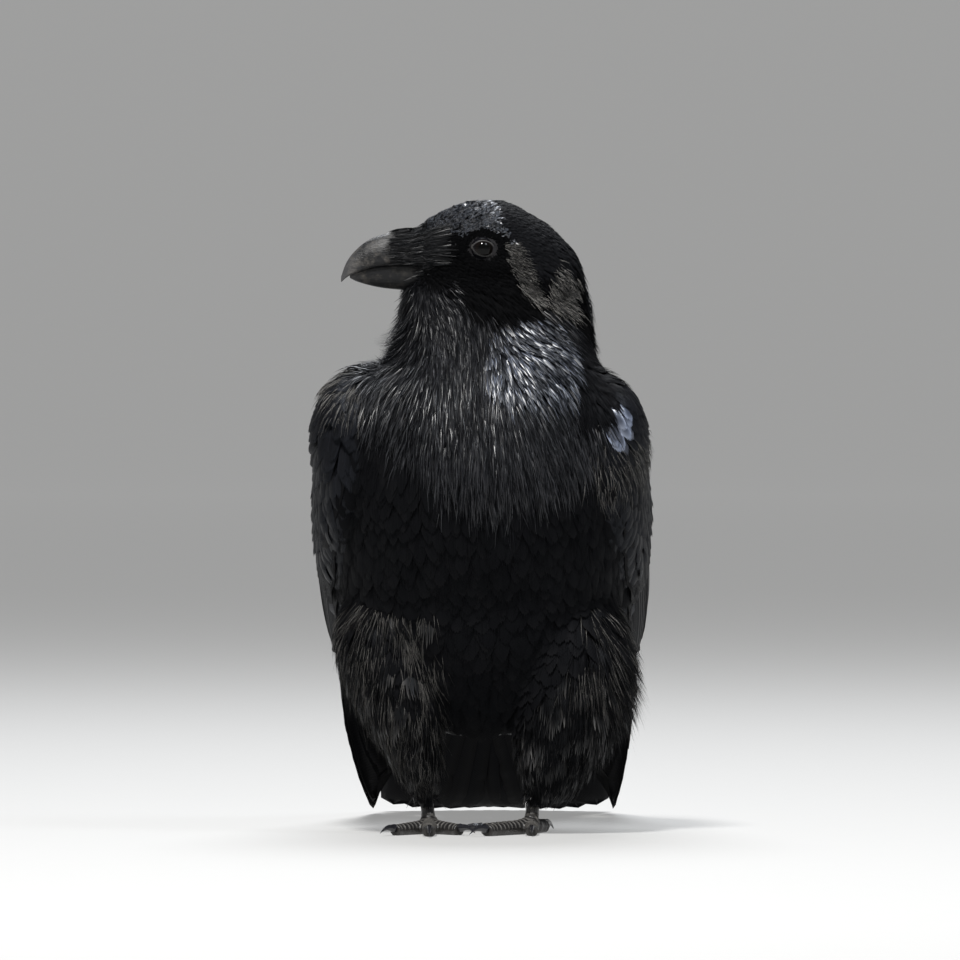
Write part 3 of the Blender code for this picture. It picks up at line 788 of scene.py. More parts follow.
def duskyAt(place, edge):
    # the part of the cheek below the eye, whose feathers are made dull and darker, partly as painted shade
    low, front = -39 + edge, 23 + 0.7 * np.minimum(0, place[:, 2] + 22) + edge
    return (np.abs(place[:, 1]) > 8) & (place[:, 2] > low) & (place[:, 0] > -30) & (place[:, 0] < front)


def onRump(path):
    # leaves out feathers that would stand off past the flank or over the tail's root
    ends = inBody(path[:, -1])
    return (np.abs(ends[:, 0]) < 88) & ((ends[:, 1] > -180) | (ends[:, 2] < 102 + 0.6 * (ends[:, 1] + 195)))


def clearOfEye(path):
    return offEye(path).min(1) > 0.97


def roundEye(spots):
    # the smallest feathers, which part round the lids
    values = guides.at(spots)
    place = inHead(spots)
    away = np.stack((place[:, 0] / eyeGap["long"], 0 * place[:, 1], place[:, 2] / eyeGap["tall"]), 1)
    near = np.clip(2.0 - offEye(spots), 0, 1)[:, None]
    values[:, :3] = unit(values[:, :3] + unit(away) @ headAxes * near * 2.2)
    values[:, 3:] *= 1 - 0.45 * near
    return values


place = inBody(centres)
x, y, z = place.T
finer = np.clip((z - bibEdge(place) + 6) / 12, 0, 1) * (y > 0)
gaps = guides.at(centres)[:, 5] * (1 - coatLook["bibFiner"] * finer)
onHead, onWing = coveredBy(centres, "head"), coveredBy(centres, "wing_left", "wing_right")
along, across = ((place - wingPlane["wrist"]) @ axis for axis in wingAxes)
small = (along < 84) | ((across > 36) & (along < 116))  # the small coverts end where the great ones start
place = inHead(centres)
x, y, z = place.T
bristled = (x > 23 + 2.5 * np.sin(z * 1.9)) & (z > -9) & (z < 9)
bare = (x > 36) & (z > -12)
feathered = onHead & ~bare & ~bristled & (offEye(centres) > 1.0)
headFound = scatter(gaps * coatLook["headSpacing"], feathered)
bodyFound = scatter(gaps * coatLook["bodySpacing"], ~onHead & ~onWing)
wingFound = scatter(gaps * coatLook["wingSpacing"], onWing & small)

place = inHead(headFound[0])
x, y, z = place.T
edge = rng.normal(0, 3.2, len(place))  # a ragged border between short feathers and hackles
throat = z < -26 + 0.25 * np.abs(x - 20) + edge
byEye = ~throat & (offEye(headFound[0]) < 2.0)
onSide = np.abs(y) > 8
cheek = onSide & (x > -14 + 0.36 * (z + 9) + edge) & (z < 8.5 + 0.4 * edge)
cheek &= ~((x < 4) & (np.hypot(x, z) > 10) & (z > -4))
band = np.abs(x + 15.9 - 0.37 * z + 0.4 * edge) < 4.0
band |= np.hypot((x + 44) / 6, (z + 24) / 14) < 1 + 0.08 * edge
ruff = onSide & band & (z < 3)
cheek &= ~ruff
plain = ~throat & ~byEye & ~cheek & ~ruff
crown = plain & (x > -16.5 + 0.5 * z + 0.6 * edge) & (z > -2)
crown &= z < 26.5 + 0.3 * edge
dusky = throat & (duskyAt(place, edge) | (onSide & (x < -24 + edge)))
short = dict(length=1.0, width=0.86, yaw=12, vary=0.15, fray=0.16, steps=4, uneven=0.15)
hackles = dict(length=1.0, width=0.62, yaw=10, vary=0.2, fray=0.16, lift=0.04, uneven=0.15)
layGroups(headFound, (
    ("crown_feathers", crown, 1, "small", "crown", {
        **short, "length": 0.74, "width": 0.95, "lift": 0.13, "roll": 26}),
    ("nape_feathers", plain & ~crown, 1, "small", "contour", {**short, "lift": 0.02}),
    ("cheek_feathers", ~throat & ~byEye & cheek, 1, "small", "velvet", {**short, "lift": 0.02}),
    ("ruff_feathers", ~throat & ~byEye & ruff, 1, "small", "contour", {**short, "lift": 0.04}),
    ("ruff_hairs", ruff, 9, "strand", "ruff", dict(
        length=0.65, width=0.09, yaw=22, vary=0.3, steps=4, lift=0.06, uneven=0.2, depth=1.2, roll=40)),
    ("eye_feathers", byEye, 1, "small", "velvet", dict(
        length=0.9, width=0.8, yaw=7, steps=4, follow=0.1, lift=0.01, uneven=0.15, sizes=roundEye)),
    ("throat_hackles", throat & ~dusky, 1, "hackle", "throat", hackles),
    ("dusky_hackles", dusky, 1, "hackle", "velvet", hackles),
    ("throat_hairs", throat & ~dusky, 3, "strand", "throat", dict(
        length=0.9, width=0.08, yaw=12, vary=0.3, lift=0.06, uneven=0.15, depth=1.12, roll=40)),
), clear=clearOfEye)

place = inBody(bodyFound[0])
x, y, z = place.T
thighs, onNeck = coveredBy(bodyFound[0], "thigh_left", "thigh_right"), coveredBy(bodyFound[0], "neck")
bib = bibEdge(place) + rng.normal(0, 4, len(place))
front = y > -10 + 0.3 * (z - 250)
hackled = ~thighs & ((z > bib) | onNeck) & front
below = ~thighs & ~hackled & (y > -25 - 0.5 * np.minimum(0, z - 110)) & (z > 0)
rear = ~thighs & ~hackled & ~below
tufted = (z > 36) & (z < 156) & (y > -16)  # loose ones on the thighs, whose pale fringe is painted highlight
tufted &= ((x < -22) & (rng.random(len(place)) < 0.5)) | (
    (x > 58) & (z > 98) & (rng.random(len(place)) < 0.4))
flank = (np.abs(x) > 60) & (z < 132) & (z > 55) & (y > -45)
away = inHead(bodyFound[0])
# the side-neck patch whose hackles take a painted highlight in the gloss finish
glossy = (np.abs(away[:, 1]) > 8) & (np.hypot((away[:, 0] + 23) / 24, (away[:, 2] + 62) / 23) < 1)
aside = (x > 48) & (z > 258)
dusky = (duskyAt(away, rng.normal(0, 3, len(away))) | aside) & hackled & ~glossy
hackled &= ~dusky
upper = hackled & ~glossy & (z > 302 + rng.normal(0, 4, len(place)))
lower = hackled & ~glossy & ~upper
locks = dict(length=1.0, width=0.56, yaw=8, lift=0.03, fray=0.2, curl=0.05, roll=14)
duller = {**locks, "width": 0.7, "lift": 0.02}
strands = dict(length=0.95, width=0.08, yaw=11, lift=0.03, vary=0.3, curl=0.06, depth=1.08, uneven=0.14,
               roll=40)
layGroups(bodyFound, (
    ("neck_hackles", lower, 1, "hackle", "hackle", locks),
    ("upper_neck_hackles", upper, 1, "hackle", "throat", locks),
    ("dusky_neck_hackles", dusky & ~aside, 1, "hackle", "velvet", duller),
    ("side_neck_hackles", dusky & aside, 1, "hackle", "contour", duller),
    ("glossy_neck_hackles", hackled & glossy, 2, "lance", "gloss", dict(
        length=0.8, width=0.5, yaw=8, lift=0.04, fray=0.08, vary=0.25, roll=12, uneven=0.1)),
    ("neck_hairs", lower, 5, "strand", "hackle", strands),
    ("upper_neck_hairs", upper, 4, "strand", "throat", strands),
    ("breast_feathers", below, 1, "contour", "contour", dict(
        length=1.1, width=1.4, yaw=9, fray=0.02, camber=0.1, roll=4, uneven=0.04)),
    ("breast_hairs", below, 6, "strand", "contour", dict(
        length=1.0, width=0.03, yaw=12, lift=0.01, vary=0.3, curl=0.05, depth=1.04, roll=30)),
    ("back_feathers", rear, 1, "contour", "mantle", dict(
        length=1.0, width=1.1, yaw=6, fray=0.03, over=rump, clear=onRump)),
    ("thigh_feathers", thighs & (z > 28), 1, "down", "thigh", dict(
        length=1.15, width=1.1, yaw=12, lift=0.03)),
    ("lit_tufts", tufted, 1, "down", "thigh", dict(
        length=1.0, width=1.2, yaw=14, lift=0.05, depth=1.12, uneven=0.1)),
    ("tuft_hairs", tufted, 16, "strand", "tuft", dict(
        length=1.08, width=0.035, yaw=17, lift=0.05, vary=0.25, curl=0.08, depth=1.2, uneven=0.1, roll=40)),
    ("thigh_hairs", thighs & (z > 40), 6, "strand", "thigh", dict(
        length=1.1, width=0.045, yaw=16, lift=0.04, vary=0.3, curl=0.08, depth=1.08, uneven=0.12, roll=40)),
    ("flank_hairs", flank, 10, "strand", "thigh", dict(
        length=0.9, width=0.04, yaw=22, lift=0.06, vary=0.35, curl=0.09, depth=1.15, uneven=0.2, roll=40)),
))

place = inBody(wingFound[0])
x, y, z = place.T
# bend and shoulder: pale hairs under one wrist and on the other shoulder, partly own colour and partly
# painted highlight
bend = (y > 8) & (x > 58) & (np.abs(z - 236) < 12)
# the wrist patch whose coverts take a painted highlight
paintedWristHighlight = (y > 8) & (np.abs(z - 262) < 7) & (np.abs(x - 70) < 10)
shoulder = (y > 0) & (x < -56) & (np.abs(z - 275) < 13) & (x > -84)
coverts = dict(length=1.0, width=1.0, yaw=5, fray=0.03, rise=1.6)
layGroups(wingFound, (
    ("wing_coverts", ~paintedWristHighlight, 1, "covert", "covert", coverts),
    ("bend_coverts", paintedWristHighlight, 1, "covert", "painted_sheen", coverts),
    ("bend_hairs", bend, 14, "strand", "ruff", dict(
        length=1.1, width=0.04, yaw=30, lift=0.04, vary=0.35, curl=0.1, depth=1.15, uneven=0.2, roll=40)),
    ("shoulder_hairs", shoulder, 6, "strand", "ruff", dict(
        length=0.9, width=0.04, yaw=20, lift=0.03, vary=0.35, curl=0.06, depth=1.15, uneven=0.2, roll=40)),
))

# rows are forward, the ridge's height, the cutting edge's height and half the width
billLook = {
    "around": 40, "along": 72, "ridges": 0.05, "lip": 0.25, "square": 0.74,
    "upper": ((22, 10.6, -11.4, 11.6), (38, 11.0, -10.3, 11.0), (50, 10.2, -10.0, 9.8),
              (60, 7.8, -10.6, 8.2), (68, 4.0, -12.4, 6.5), (75, -1.8, -14.8, 4.6),
              (80, -8.6, -17.4, 2.9), (83.2, -17.0, -20.4, 0.9)),
    "lower": ((22, -25.0, -10.9, 9.8), (38, -25.4, -9.8, 9.3), (50, -24.8, -9.5, 8.2),
              (60, -23.6, -10.1, 6.7), (68, -21.8, -11.9, 5.1), (74, -19.9, -14.2, 3.3),
              (77.8, -18.0, -15.8, 1.1)),
}


def billFinish():
    # dark horn with long fine lines, wear near the ridge and towards the tip, and a paler very tip that is a
    # painted highlight
    made = Finish("horn_bill")
    forward, left, up = (made.mark(key) for key in ("ahead", "aside", "above"))
    lines = made.noise(made.node("CombineXYZ", X=forward * 0.04, Y=left * 0.4, Z=up * 0.7), 2.2, 5, 0.6)
    cloud = made.noise(0.006, 1.0, 5, 0.62)
    fine = made.noise(0.006, 7.0, 3, 0.6)
    worn = ((forward * 0.03 - 1.5 + cloud * 0.9).clip() * (cloud * 3.6 - 1.7).clip()).clip()
    base = made.mix((lines * 1.6 - 0.3).clip(), (0.003, 0.003, 0.0036), (0.0115, 0.0118, 0.013))
    colour = made.mix((worn * 0.7).clip(), base, (0.09, 0.081, 0.07))
    # tip: the paler colour here is a painted highlight; the lower roughness is the horn's own polish
    tip = ((forward - 70.0) * 0.07).clip()
    rough = (lines * 0.16 + cloud * 0.14 + worn * 0.16 + 0.24 - tip * 0.14).clip()
    return made.set(Base_Color=made.mix((tip * 0.4).clip(), colour, (0.14, 0.14, 0.145)), Roughness=rough,
                    Normal=made.bump(lines * 1.0 + fine * 0.25 + worn * -0.3, 0.3, 0.8), IOR=1.45,
                    Specular_IOR_Level=0.3)


def smoothRows(rows, count):
    # rows of numbers on a curve that passes through each given row
    rows = np.array(rows, float)
    at = np.linspace(0, len(rows) - 1.001, count)
    i = at.astype(int)
    t = (at - i)[:, None]
    a, b, c, d = (rows[np.clip(i + k, 0, len(rows) - 1)] for k in (-1, 0, 1, 2))
    return 0.5 * (2 * b + (c - a) * t + (2 * a - 5 * b + 4 * c - d) * t ** 2
                  + (3 * b - a - 3 * c + d) * t ** 3)


def buildBill(half):
    # an arch from one cutting edge over the ridge to the other, with a hollowed floor between them
    side = np.linspace(0, np.pi, billLook["around"] + 1)
    points = []
    for ahead, ridge, edge, width in smoothRows(billLook[half], billLook["along"]):
        left = width * np.cos(side) * (1 - 0.16 * np.sin(side) ** 2)
        above = edge + (ridge - edge) * np.abs(np.sin(side)) ** billLook["square"]
        swell = billLook["lip"] * (ridge > edge) * np.exp(-((above - edge) / 1.3) ** 2)
        swell = swell + billLook["ridges"] * np.sin(above * 3.3)
        left = left + np.sign(left) * swell * min(1.0, width / 5) * (np.abs(left) > 0.5)
        floor = np.linspace(left[-1], left[0], 9)[1:-1]
        hollow = np.sign(ridge - edge) * 0.9 * min(1.0, width / 4) * (1 - (floor / max(width, 0.1)) ** 2)
        left, above = np.concatenate((left, floor)), np.concatenate((above, edge + hollow))
        points.append(np.stack((np.full(len(left), ahead), left, above), 1))
    piece = gridMesh(f"{half}_bill", headPlace(np.array(points)), half == "lower")
    edit(piece, lambda: bpy.ops.mesh.fill_holes(sides=0))
    for key, values in zip(("ahead", "aside", "above"), inHead(pointsOf(piece)).T):
        addMark(piece, key, values)
    return finishPiece(piece, hornBill, "horn", f"bill_{half}")


hornBill = billFinish()
outside = Surface(skin, buildBill("upper"), buildBill("lower"))

eyeLook = {"radius": 7.6, "long": 6.1, "tall": 4.55, "lean": 9.0, "turns": 96}
lidRows = (  # out from the opening, how high over the ball, and the share of the pale rim
    (-0.8, -0.2, 0.0), (-0.3, 0.1, 0.1), (0.0, 0.32, 0.6), (0.2, 0.42, 1), (0.45, 0.42, 1), (0.7, 0.32, 0.5),
    (0.9, 0.2, 0.05), (1.2, 0.15, 0), (1.6, 0.05, 0), (2.6, -1.2, 0),
)


def eyeFinish():
    made = Finish("dark_eye")
    around, angle = made.mark("fromPupil"), made.mark("around")
    streaks = made.noise(made.node("CombineXYZ", X=angle * 3.0, Y=around * 0.35), 3.0, 3)
    iris = made.mix(streaks, (0.0024, 0.002, 0.0018), (0.0056, 0.0042, 0.0036))
    iris = made.mix(((around - 3.3) * 2.2).clip(), (0.002, 0.002, 0.002), iris)
    return made.set(Base_Color=made.mix(((around - 5.0) * 1.4).clip(), iris, (0.004, 0.004, 0.005)),
                    Roughness=0.06, IOR=1.24, Specular_IOR_Level=0.5)


def lidFinish():
    made = Finish("eyelid")
    beads = made.noise(0.0016, 1.2, 3)
    share = (made.mark("rim") * (beads * 0.8 + 0.55)).clip()
    return made.set(Base_Color=made.mix(share, (0.0022, 0.0022, 0.0025), (0.05, 0.049, 0.048)),
                    Roughness=0.5, Normal=made.bump(beads, 0.1, 0.6), Specular_IOR_Level=0.12)


def eyePoint(side, x, y, z):
    # forward, outward and up from the eye's middle
    outward = headLeft if side == "left" else -headLeft
    rows = np.stack(np.broadcast_arrays(x, y, z), -1) * mm
    return eyeMiddle[side] + rows @ np.stack((headForward, outward, headUp))


def buildEyeball(side):
    bpy.ops.object.select_all(action="DESELECT")
    bpy.ops.mesh.primitive_ico_sphere_add(subdivisions=6, radius=eyeLook["radius"] * mm)
    ball = bpy.context.object
    ball.name = ball.data.name = f"eyeball_{side}"
    x, y, z = pointsOf(ball).T / mm  # forward, outward, up
    away = np.hypot(x, z)
    y = y + 0.45 * np.clip(1 - (away / 5.2) ** 2, 0, 1) * (y > 0)
    addMark(ball, "fromPupil", np.where(y > 0, away, 9))
    addMark(ball, "around", np.arctan2(z, x))
    setPoints(ball, eyePoint(side, x, y, z))
    if side == "right":  # outward mirrors the ball on this side, which turns its faces inwards
        ball.data.flip_normals()
    bpy.ops.object.shade_smooth()
    return finishPiece(ball, eyeball, "iris", f"eye_{side}")


def buildLids(side):
    # a thin wrinkled rim round the opening, then a skirt that runs under the feathers
    angle = np.linspace(0, 2 * np.pi, eyeLook["turns"], endpoint=False)
    lean = math.radians(eyeLook["lean"])
    outward = headLeft if side == "left" else -headLeft
    rows = []
    for out, rise, _ in lidRows:
        wrinkle = 0.07 * np.cos(angle * 26 + 1.3 * np.sin(angle * 3)) * np.exp(-((out - 1.0) / 1.2) ** 2)
        x = (eyeLook["long"] + out + 0.5 * np.abs(np.cos(angle)) ** 14) * np.cos(angle)
        z = (eyeLook["tall"] + out) * np.sin(angle)
        x, z = x * math.cos(lean) - z * math.sin(lean), x * math.sin(lean) + z * math.cos(lean)
        away = np.minimum(np.hypot(x, z), eyeLook["radius"] - 0.35)
        onBall = np.sqrt(eyeLook["radius"] ** 2 - away ** 2)
        starts = eyePoint(side, x, 30.0, z).tolist()
        hits = [ground.tree.ray_cast(start, (-outward).tolist())[0] for start in starts]
        onFace = (np.array(hits) - eyeMiddle[side]) @ outward / mm
        share = np.clip(out / 1.3, 0, 1)
        y = onBall * (1 - share) + np.maximum(onFace, onBall - 1.2) * share + rise + wrinkle
        rows.append(eyePoint(side, x, y, z))
    lids = gridMesh(f"eyelids_{side}", np.array(rows), side == "right")
    addMark(lids, "rim", np.repeat([row[2] for row in lidRows], eyeLook["turns"]))
    return finishPiece(lids, eyelid, "plumage")


eyeball, eyelid = eyeFinish(), lidFinish()
for side in ("left", "right"):
    buildEyeball(side)
    buildLids(side)


def growBristles(name, start, way, length, width, depth, lift, drift, arch=0, drop=0):
    # narrow tapering blades on the head, in its own millimetres, from the bill's base or the gape
    spots, up, _ = outside.nearest(headPlace(np.stack(np.broadcast_arrays(*start), 1)))
    ways = unit(np.stack(np.broadcast_arrays(*way), 1)) @ headAxes
    length = length * mm
    path, ups = march(outside, spots, up, ways, length, 7, 0)
    count = len(spots)
    u, t = cornersOf("strand", count)
    roll = rng.uniform(-1.2, 1.2, count)[:, None]
    height = (depth * mm)[:, None] * (1 - (1 - t) ** 1.8)
    height += arch * mm * np.sin(np.pi * np.minimum(t * 1.15, 1))
    height += length[:, None] * t ** 2 * lift * rng.normal(0.6, 0.8, count)[:, None]
    drift = length[:, None] * t ** 2 * drift * rng.normal(0, 1, count)[:, None]
    uv = rootUvs(spots, ground.nearest(spots)[2])
    made = blades(name, "strand", path, ups, u, t, width * mm, height, drift, roll, uv, drop)
    return finishPiece(made, plumage["bristle"], "plumage")


def nasalBristles(count=7000):
    # forward over the nostrils, in locks of nine, so that they show as fine lines
    lock = np.arange(count) // 9
    locks = lock[-1] + 1
    side = np.where(lock % 2, 1, -1)
    above = rng.uniform(-9, 10.5, locks)[lock] + 0.25 * rng.normal(0, 1, count)
    ahead = (11 + 32 * rng.random(locks))[lock] + rng.normal(0, 1.5, count)
    aside = 14 * side * np.sqrt(np.clip(1.05 - ((above + 4) / 19) ** 2, 0.02, 1))
    slope = -0.05 - 0.012 * (above + 2) + 0.05 * rng.normal(0, 1, locks)[lock]
    way = (1, -0.12 * side, slope + 0.02 * rng.normal(0, 1, count))
    tips = 55 + 0.6 * above + 4.5 * rng.normal(0, 1, locks)[lock]
    length = np.clip((tips - ahead) * rng.uniform(0.5, 1, count), 4, 21)
    depth = rng.uniform(0.3, 1.9, locks)[lock] * rng.uniform(0.8, 1.1, count)
    depth += 1.5 * np.clip((24 - ahead) / 6, 0, 1)
    growBristles("nasal_bristles", (ahead, aside, above), way, length, rng.uniform(0.28, 0.5, count), depth,
                 0.01, 0.02)


def browBristles(count=1200):
    # over the ridge's root, where they fill the step from the forehead down to the bill
    ahead, aside = rng.uniform(31, 39, count), rng.uniform(-11, 11, count)
    way = (1, -0.004 * aside, -0.15 + 0.05 * rng.normal(0, 1, count))
    growBristles("brow_bristles", (ahead, aside, 17 - 0.07 * aside ** 2), way, rng.uniform(9, 17, count),
                 rng.uniform(0.3, 0.55, count), rng.uniform(0.3, 0.9, count), 0.0, 0.03, arch=1.0)


def gapeBristles(count=260):
    side = np.where(np.arange(count) % 2, 1, -1)
    ahead = 24 + 12 * rng.random(count) + rng.normal(0, 1.5, count)
    above = -9 - 15 * rng.random(count)
    way = (1, 0.1 * side, -0.3 + 0.25 * rng.normal(0, 1, count))
    growBristles("gape_bristles", (ahead, 14 * side, above), way, rng.uniform(5, 11, count),
                 rng.uniform(0.5, 0.8, count), rng.uniform(0.4, 1.2, count), 0.05, 0.09)


def chinBristles(count=200):
    ahead, aside = rng.uniform(28, 44, count), rng.uniform(-9, 9, count)
    growBristles("chin_bristles", (ahead, aside, -27), (0.75, 0.03 * aside, -0.5), rng.uniform(8, 15, count),
                 rng.uniform(0.5, 0.8, count), rng.uniform(0.4, 1.5, count), 0.08, 0.06, drop=-4)


nasalBristles()
browBristles()
gapeBristles()
chinBristles()


def slid(values, x, y, mode="constant"):
    rows, columns = values.shape
    return np.pad(values, 1, mode=mode)[1 + x:1 + x + rows, 1 + y:1 + y + columns]


def spread(heights, rounds):
    # fills the places that no ray met from their neighbours, then eases the whole
    steps = ((0, 1), (0, -1), (1, 0), (-1, 0))
    known = ~np.isnan(heights)
    values = np.where(known, heights, 0.0)
    while not known.all():
        total = sum(slid(values * known, *step) for step in steps)
        weight = sum(slid(known.astype(float), *step) for step in steps)
        fresh = ~known & (weight > 0)
        values[fresh] = total[fresh] / weight[fresh]
        known |= fresh
    for _ in range(rounds):
        values = (values * 2 + sum(slid(values, *step, "edge") for step in steps)) / 6
    return values


class Sheet:
    # height of CAD faces over a plane, from a grid of rays, on which quills are laid
    step = 3.0

    def __init__(self, names, start, axes, low, shape, above, rounds, flipped, floor=False):
        self.start, self.axes, self.low, self.flipped, self.floor = start, axes, low, flipped, floor
        tree = Surface(*(nodes[name] for name in names)).tree
        heights = np.full(shape, np.nan)
        for spot in np.ndindex(shape):
            a, b = np.array(low) + np.array(spot) * self.step
            hit = tree.ray_cast(self.at(a, b, above).tolist(), (-axes[2]).tolist())[0]
            if hit is not None and (np.array(hit) - start) @ axes[2] > 0:
                heights[spot] = (np.array(hit) - start) @ axes[2] / mm
        self.heights = spread(heights, rounds)

    def at(self, a, b, height):
        return self.start + np.stack(np.broadcast_arrays(a, b, height), -1) @ self.axes * mm

    def place(self, a, b, sink):
        x = np.clip((a - self.low[0]) / self.step, 0, self.heights.shape[0] - 1.001)
        y = np.clip((b - self.low[1]) / self.step, 0, self.heights.shape[1] - 1.001)
        i, j = x.astype(int), y.astype(int)
        p, q = x - i, y - j
        near = self.heights[i, j] * (1 - p) + self.heights[i + 1, j] * p
        far = self.heights[i, j + 1] * (1 - p) + self.heights[i + 1, j + 1] * p
        height = near * (1 - q) + far * q - sink
        if self.floor:  # low quills stay over it in their own order
            height = np.maximum(height, 0.5 + 0.12 * (6 - sink))
        return self.at(a, b, height)


quillLook = {"rows": 34, "thick": 0.35, "shaft": 0.55, "camber": 0.35, "root": 0.12,
             "nick": 0.05, "nicked": 0.12,
             "columns": (-1, -0.62, -0.28, -0.07, 0, 0.07, 0.28, 0.62, 1)}


def layQuills(name, sheet, quills, *replaced):
    # closed vanes; each quill is where its shaft starts and ends along the sheet, its path across, the
    # widths of its two vanes, how deep its root and tip lie under the sheet, and where it rounds off
    rows, columns = quillLook["rows"], len(quillLook["columns"])
    t = np.linspace(0, 1, rows)[:, None]
    u = np.tile(quillLook["columns"], (rows, 1))
    points, bake, tints = [], [], []
    for index, (start, end, path, wide, deep, blunt) in enumerate(quills):
        shaftA = start + (end - start) * t
        shaftB = path(shaftA, t)
        tip = np.clip(1 - np.clip((t - blunt) / (1 - blunt), 0, 1) ** 2.2, 0, 1) ** 0.6
        outer, inner = (half * tip * np.clip(t / quillLook["root"], 0.2, 1) for half in wide)
        nicked = (rng.random((rows, columns)) < quillLook["nicked"]) * (np.abs(u) > 0.9)
        across = np.where(u < 0, u * outer, u * inner) * (1 - quillLook["nick"] * nicked)
        sink = deep[0] + (deep[1] - deep[0]) * t ** 0.7
        sink = sink + quillLook["camber"] * u ** 2 - quillLook["shaft"] * (np.abs(u) < 0.03) * (1.1 - t)
        slope = np.gradient(shaftB[:, 0], shaftA[:, 0])[:, None]
        a, b = shaftA - across * slope / np.hypot(1, slope), shaftB + across / np.hypot(1, slope)
        under = sheet.place(a, b, sink + quillLook["thick"] * (1 - 0.5 * t))
        points.append(np.concatenate((sheet.place(a, b, sink), under)).reshape(-1, 3))
        strip = (index + 0.1 + 0.8 * (u + 1) / 2) / len(quills)
        bake.append([np.stack((strip, t * 0.47 + low + 0 * u), -1) for low in (0.01, 0.51)])
        tints.append(rng.random())
    size = rows * columns
    faces = []
    for first in range(0, size - columns, columns):
        last = first + columns - 1
        for a in range(first, last):
            faces.append((a, a + columns, a + columns + 1, a + 1))
            faces.append((a + size, a + size + 1, a + size + columns + 1, a + size + columns))
        faces.append((first, first + size, first + size + columns, first + columns))
        faces.append((last + columns, last + size + columns, last + size, last))
    faces.extend((a, a + 1, a + 1 + size, a + size) for a in range(columns - 1))
    faces.extend((a + size, a + 1 + size, a + 1, a) for a in range(size - columns, size - 1))
    if sheet.flipped:
        faces = [face[::-1] for face in faces]
    vane = np.stack((u / 2 + 0.5, t + 0 * u), -1)
    maps = {"OFBake": np.array(bake), "vane": np.tile(vane, (2 * len(quills), 1, 1))}
    made = meshOf(name, np.array(points), faces, maps, {"tint": np.array(tints)[:, None]})
    return finishPiece(made, plumage["quill"], "plumage", *replaced)


wingLook = {
    # along from the wrist, and where the folded wing's lower edge lies there
    "lower": ((0, -25), (22, -38), (55, -43), (95, -41), (135, -37), (170, -33), (215, -29), (250, -27),
              (290, -22.5), (330, -17), (370, -10.5), (402, -3), (419, 2.5), (426, 6)),
    # the primaries from the outermost in: where each ends, along and up
    "primaries": ((330, -13), (400, 0), (425, 8), (421, 10), (406, 14), (392, 19), (362, 20), (330, 19),
                  (283, 13), (262, 12)),
    "secondaries": 9, "tertials": 4, "greater": 13, "primaryCoverts": 8, "alula": 3,
}
tailLook = {"length": 360.5, "root": 142, "pairs": 6}


def lowerEdge(along):
    return np.interp(along, *zip(*wingLook["lower"]))


def fromEdge(inset, along, up):
    # keeps by the wing's lower edge, then bends to its own end
    return lambda at, run: lowerEdge(at) + inset + (up - lowerEdge(along) - inset) * run ** 2.4


def byEdge(inset, fan):
    return lambda at, run: lowerEdge(at) + inset + fan * run


def straight(start, end, power=1.0):
    return lambda at, run: start + (end - start) * run ** power


def primaryQuills():
    quills = []
    for k, (a, b) in enumerate(wingLook["primaries"]):
        inner, blunt = (19 - 0.4 * k, 0.93) if 1 < k < 8 else (15, 0.88)
        deep = (7.5 - 0.3 * k, 3.4 - 0.31 * k if k > 2 else 2.4 - 0.35 * k)
        quills.append((96 - 8 * k, a, fromEdge(5 + 3.1 * k, a, b), (6.5 if k else 4.5, inner), deep, blunt))
    return quills


def innerQuills():
    # secondaries from the lowest up, then the broad tertials over them
    quills = []
    for k in range(wingLook["secondaries"] + wingLook["tertials"]):
        top = k >= wingLook["secondaries"]
        b = 27 + 4.2 * (k - wingLook["secondaries"]) if top else -17 + 4.9 * k
        quills.append((62 + 4.5 * k, 232 - 9.5 * ((b - 3) / 20) ** 2, straight(-28 + 5.6 * k, b, 1.3),
                       (9.5 + 2.5 * top, 16 + 3 * top), (7.6 - 0.3 * k, 4.9 - 0.33 * k), 0.84 - 0.06 * top))
    return quills


def greaterCoverts():
    # the primaries' own along the lower edge, the great ones, and the alula over the bend
    quills = []
    for k in range(wingLook["primaryCoverts"]):
        quills.append((28 + 7 * k, 90 + 7 * k, byEdge(4.5, 1.9 * (7 - k)), (5.5, 9),
                       (5.5, 2.7 - 0.14 * (7 - k)), 0.72))
    for k in range(wingLook["greater"]):
        quills.append((62 + 1.5 * k, 136 + 1.6 * k - 0.16 * k ** 2, straight(-26 + 6.0 * k, -25 + 5.5 * k),
                       (8, 12), (5.0, 1.9 - 0.13 * k), 0.68))
    for k in range(wingLook["alula"]):
        quills.append((8 + 5 * k, 78 - 13 * k, byEdge(6 + 3.4 * k, 2.5), (5.5, 8),
                       (4.4, 1.3 - 0.35 * k), 0.7))
    return quills


def tailQuills():
    # the middle pair lies on top and is longest
    quills = []
    for k in reversed(range(tailLook["pairs"])):
        for sign in (1, -1):
            quills.append((tailLook["root"], tailLook["length"] - 1.8 * k - 0.45 * k ** 2,
                           straight(sign * (2.5 + 3.2 * k), sign * (5 + 11.8 * k), 1.1), (19, 11.5)[::sign],
                           (1.2 + 0.9 * k, 0.3 + 0.62 * k + 0.2 * (sign > 0)), 0.86 + 0.014 * k))
    return quills


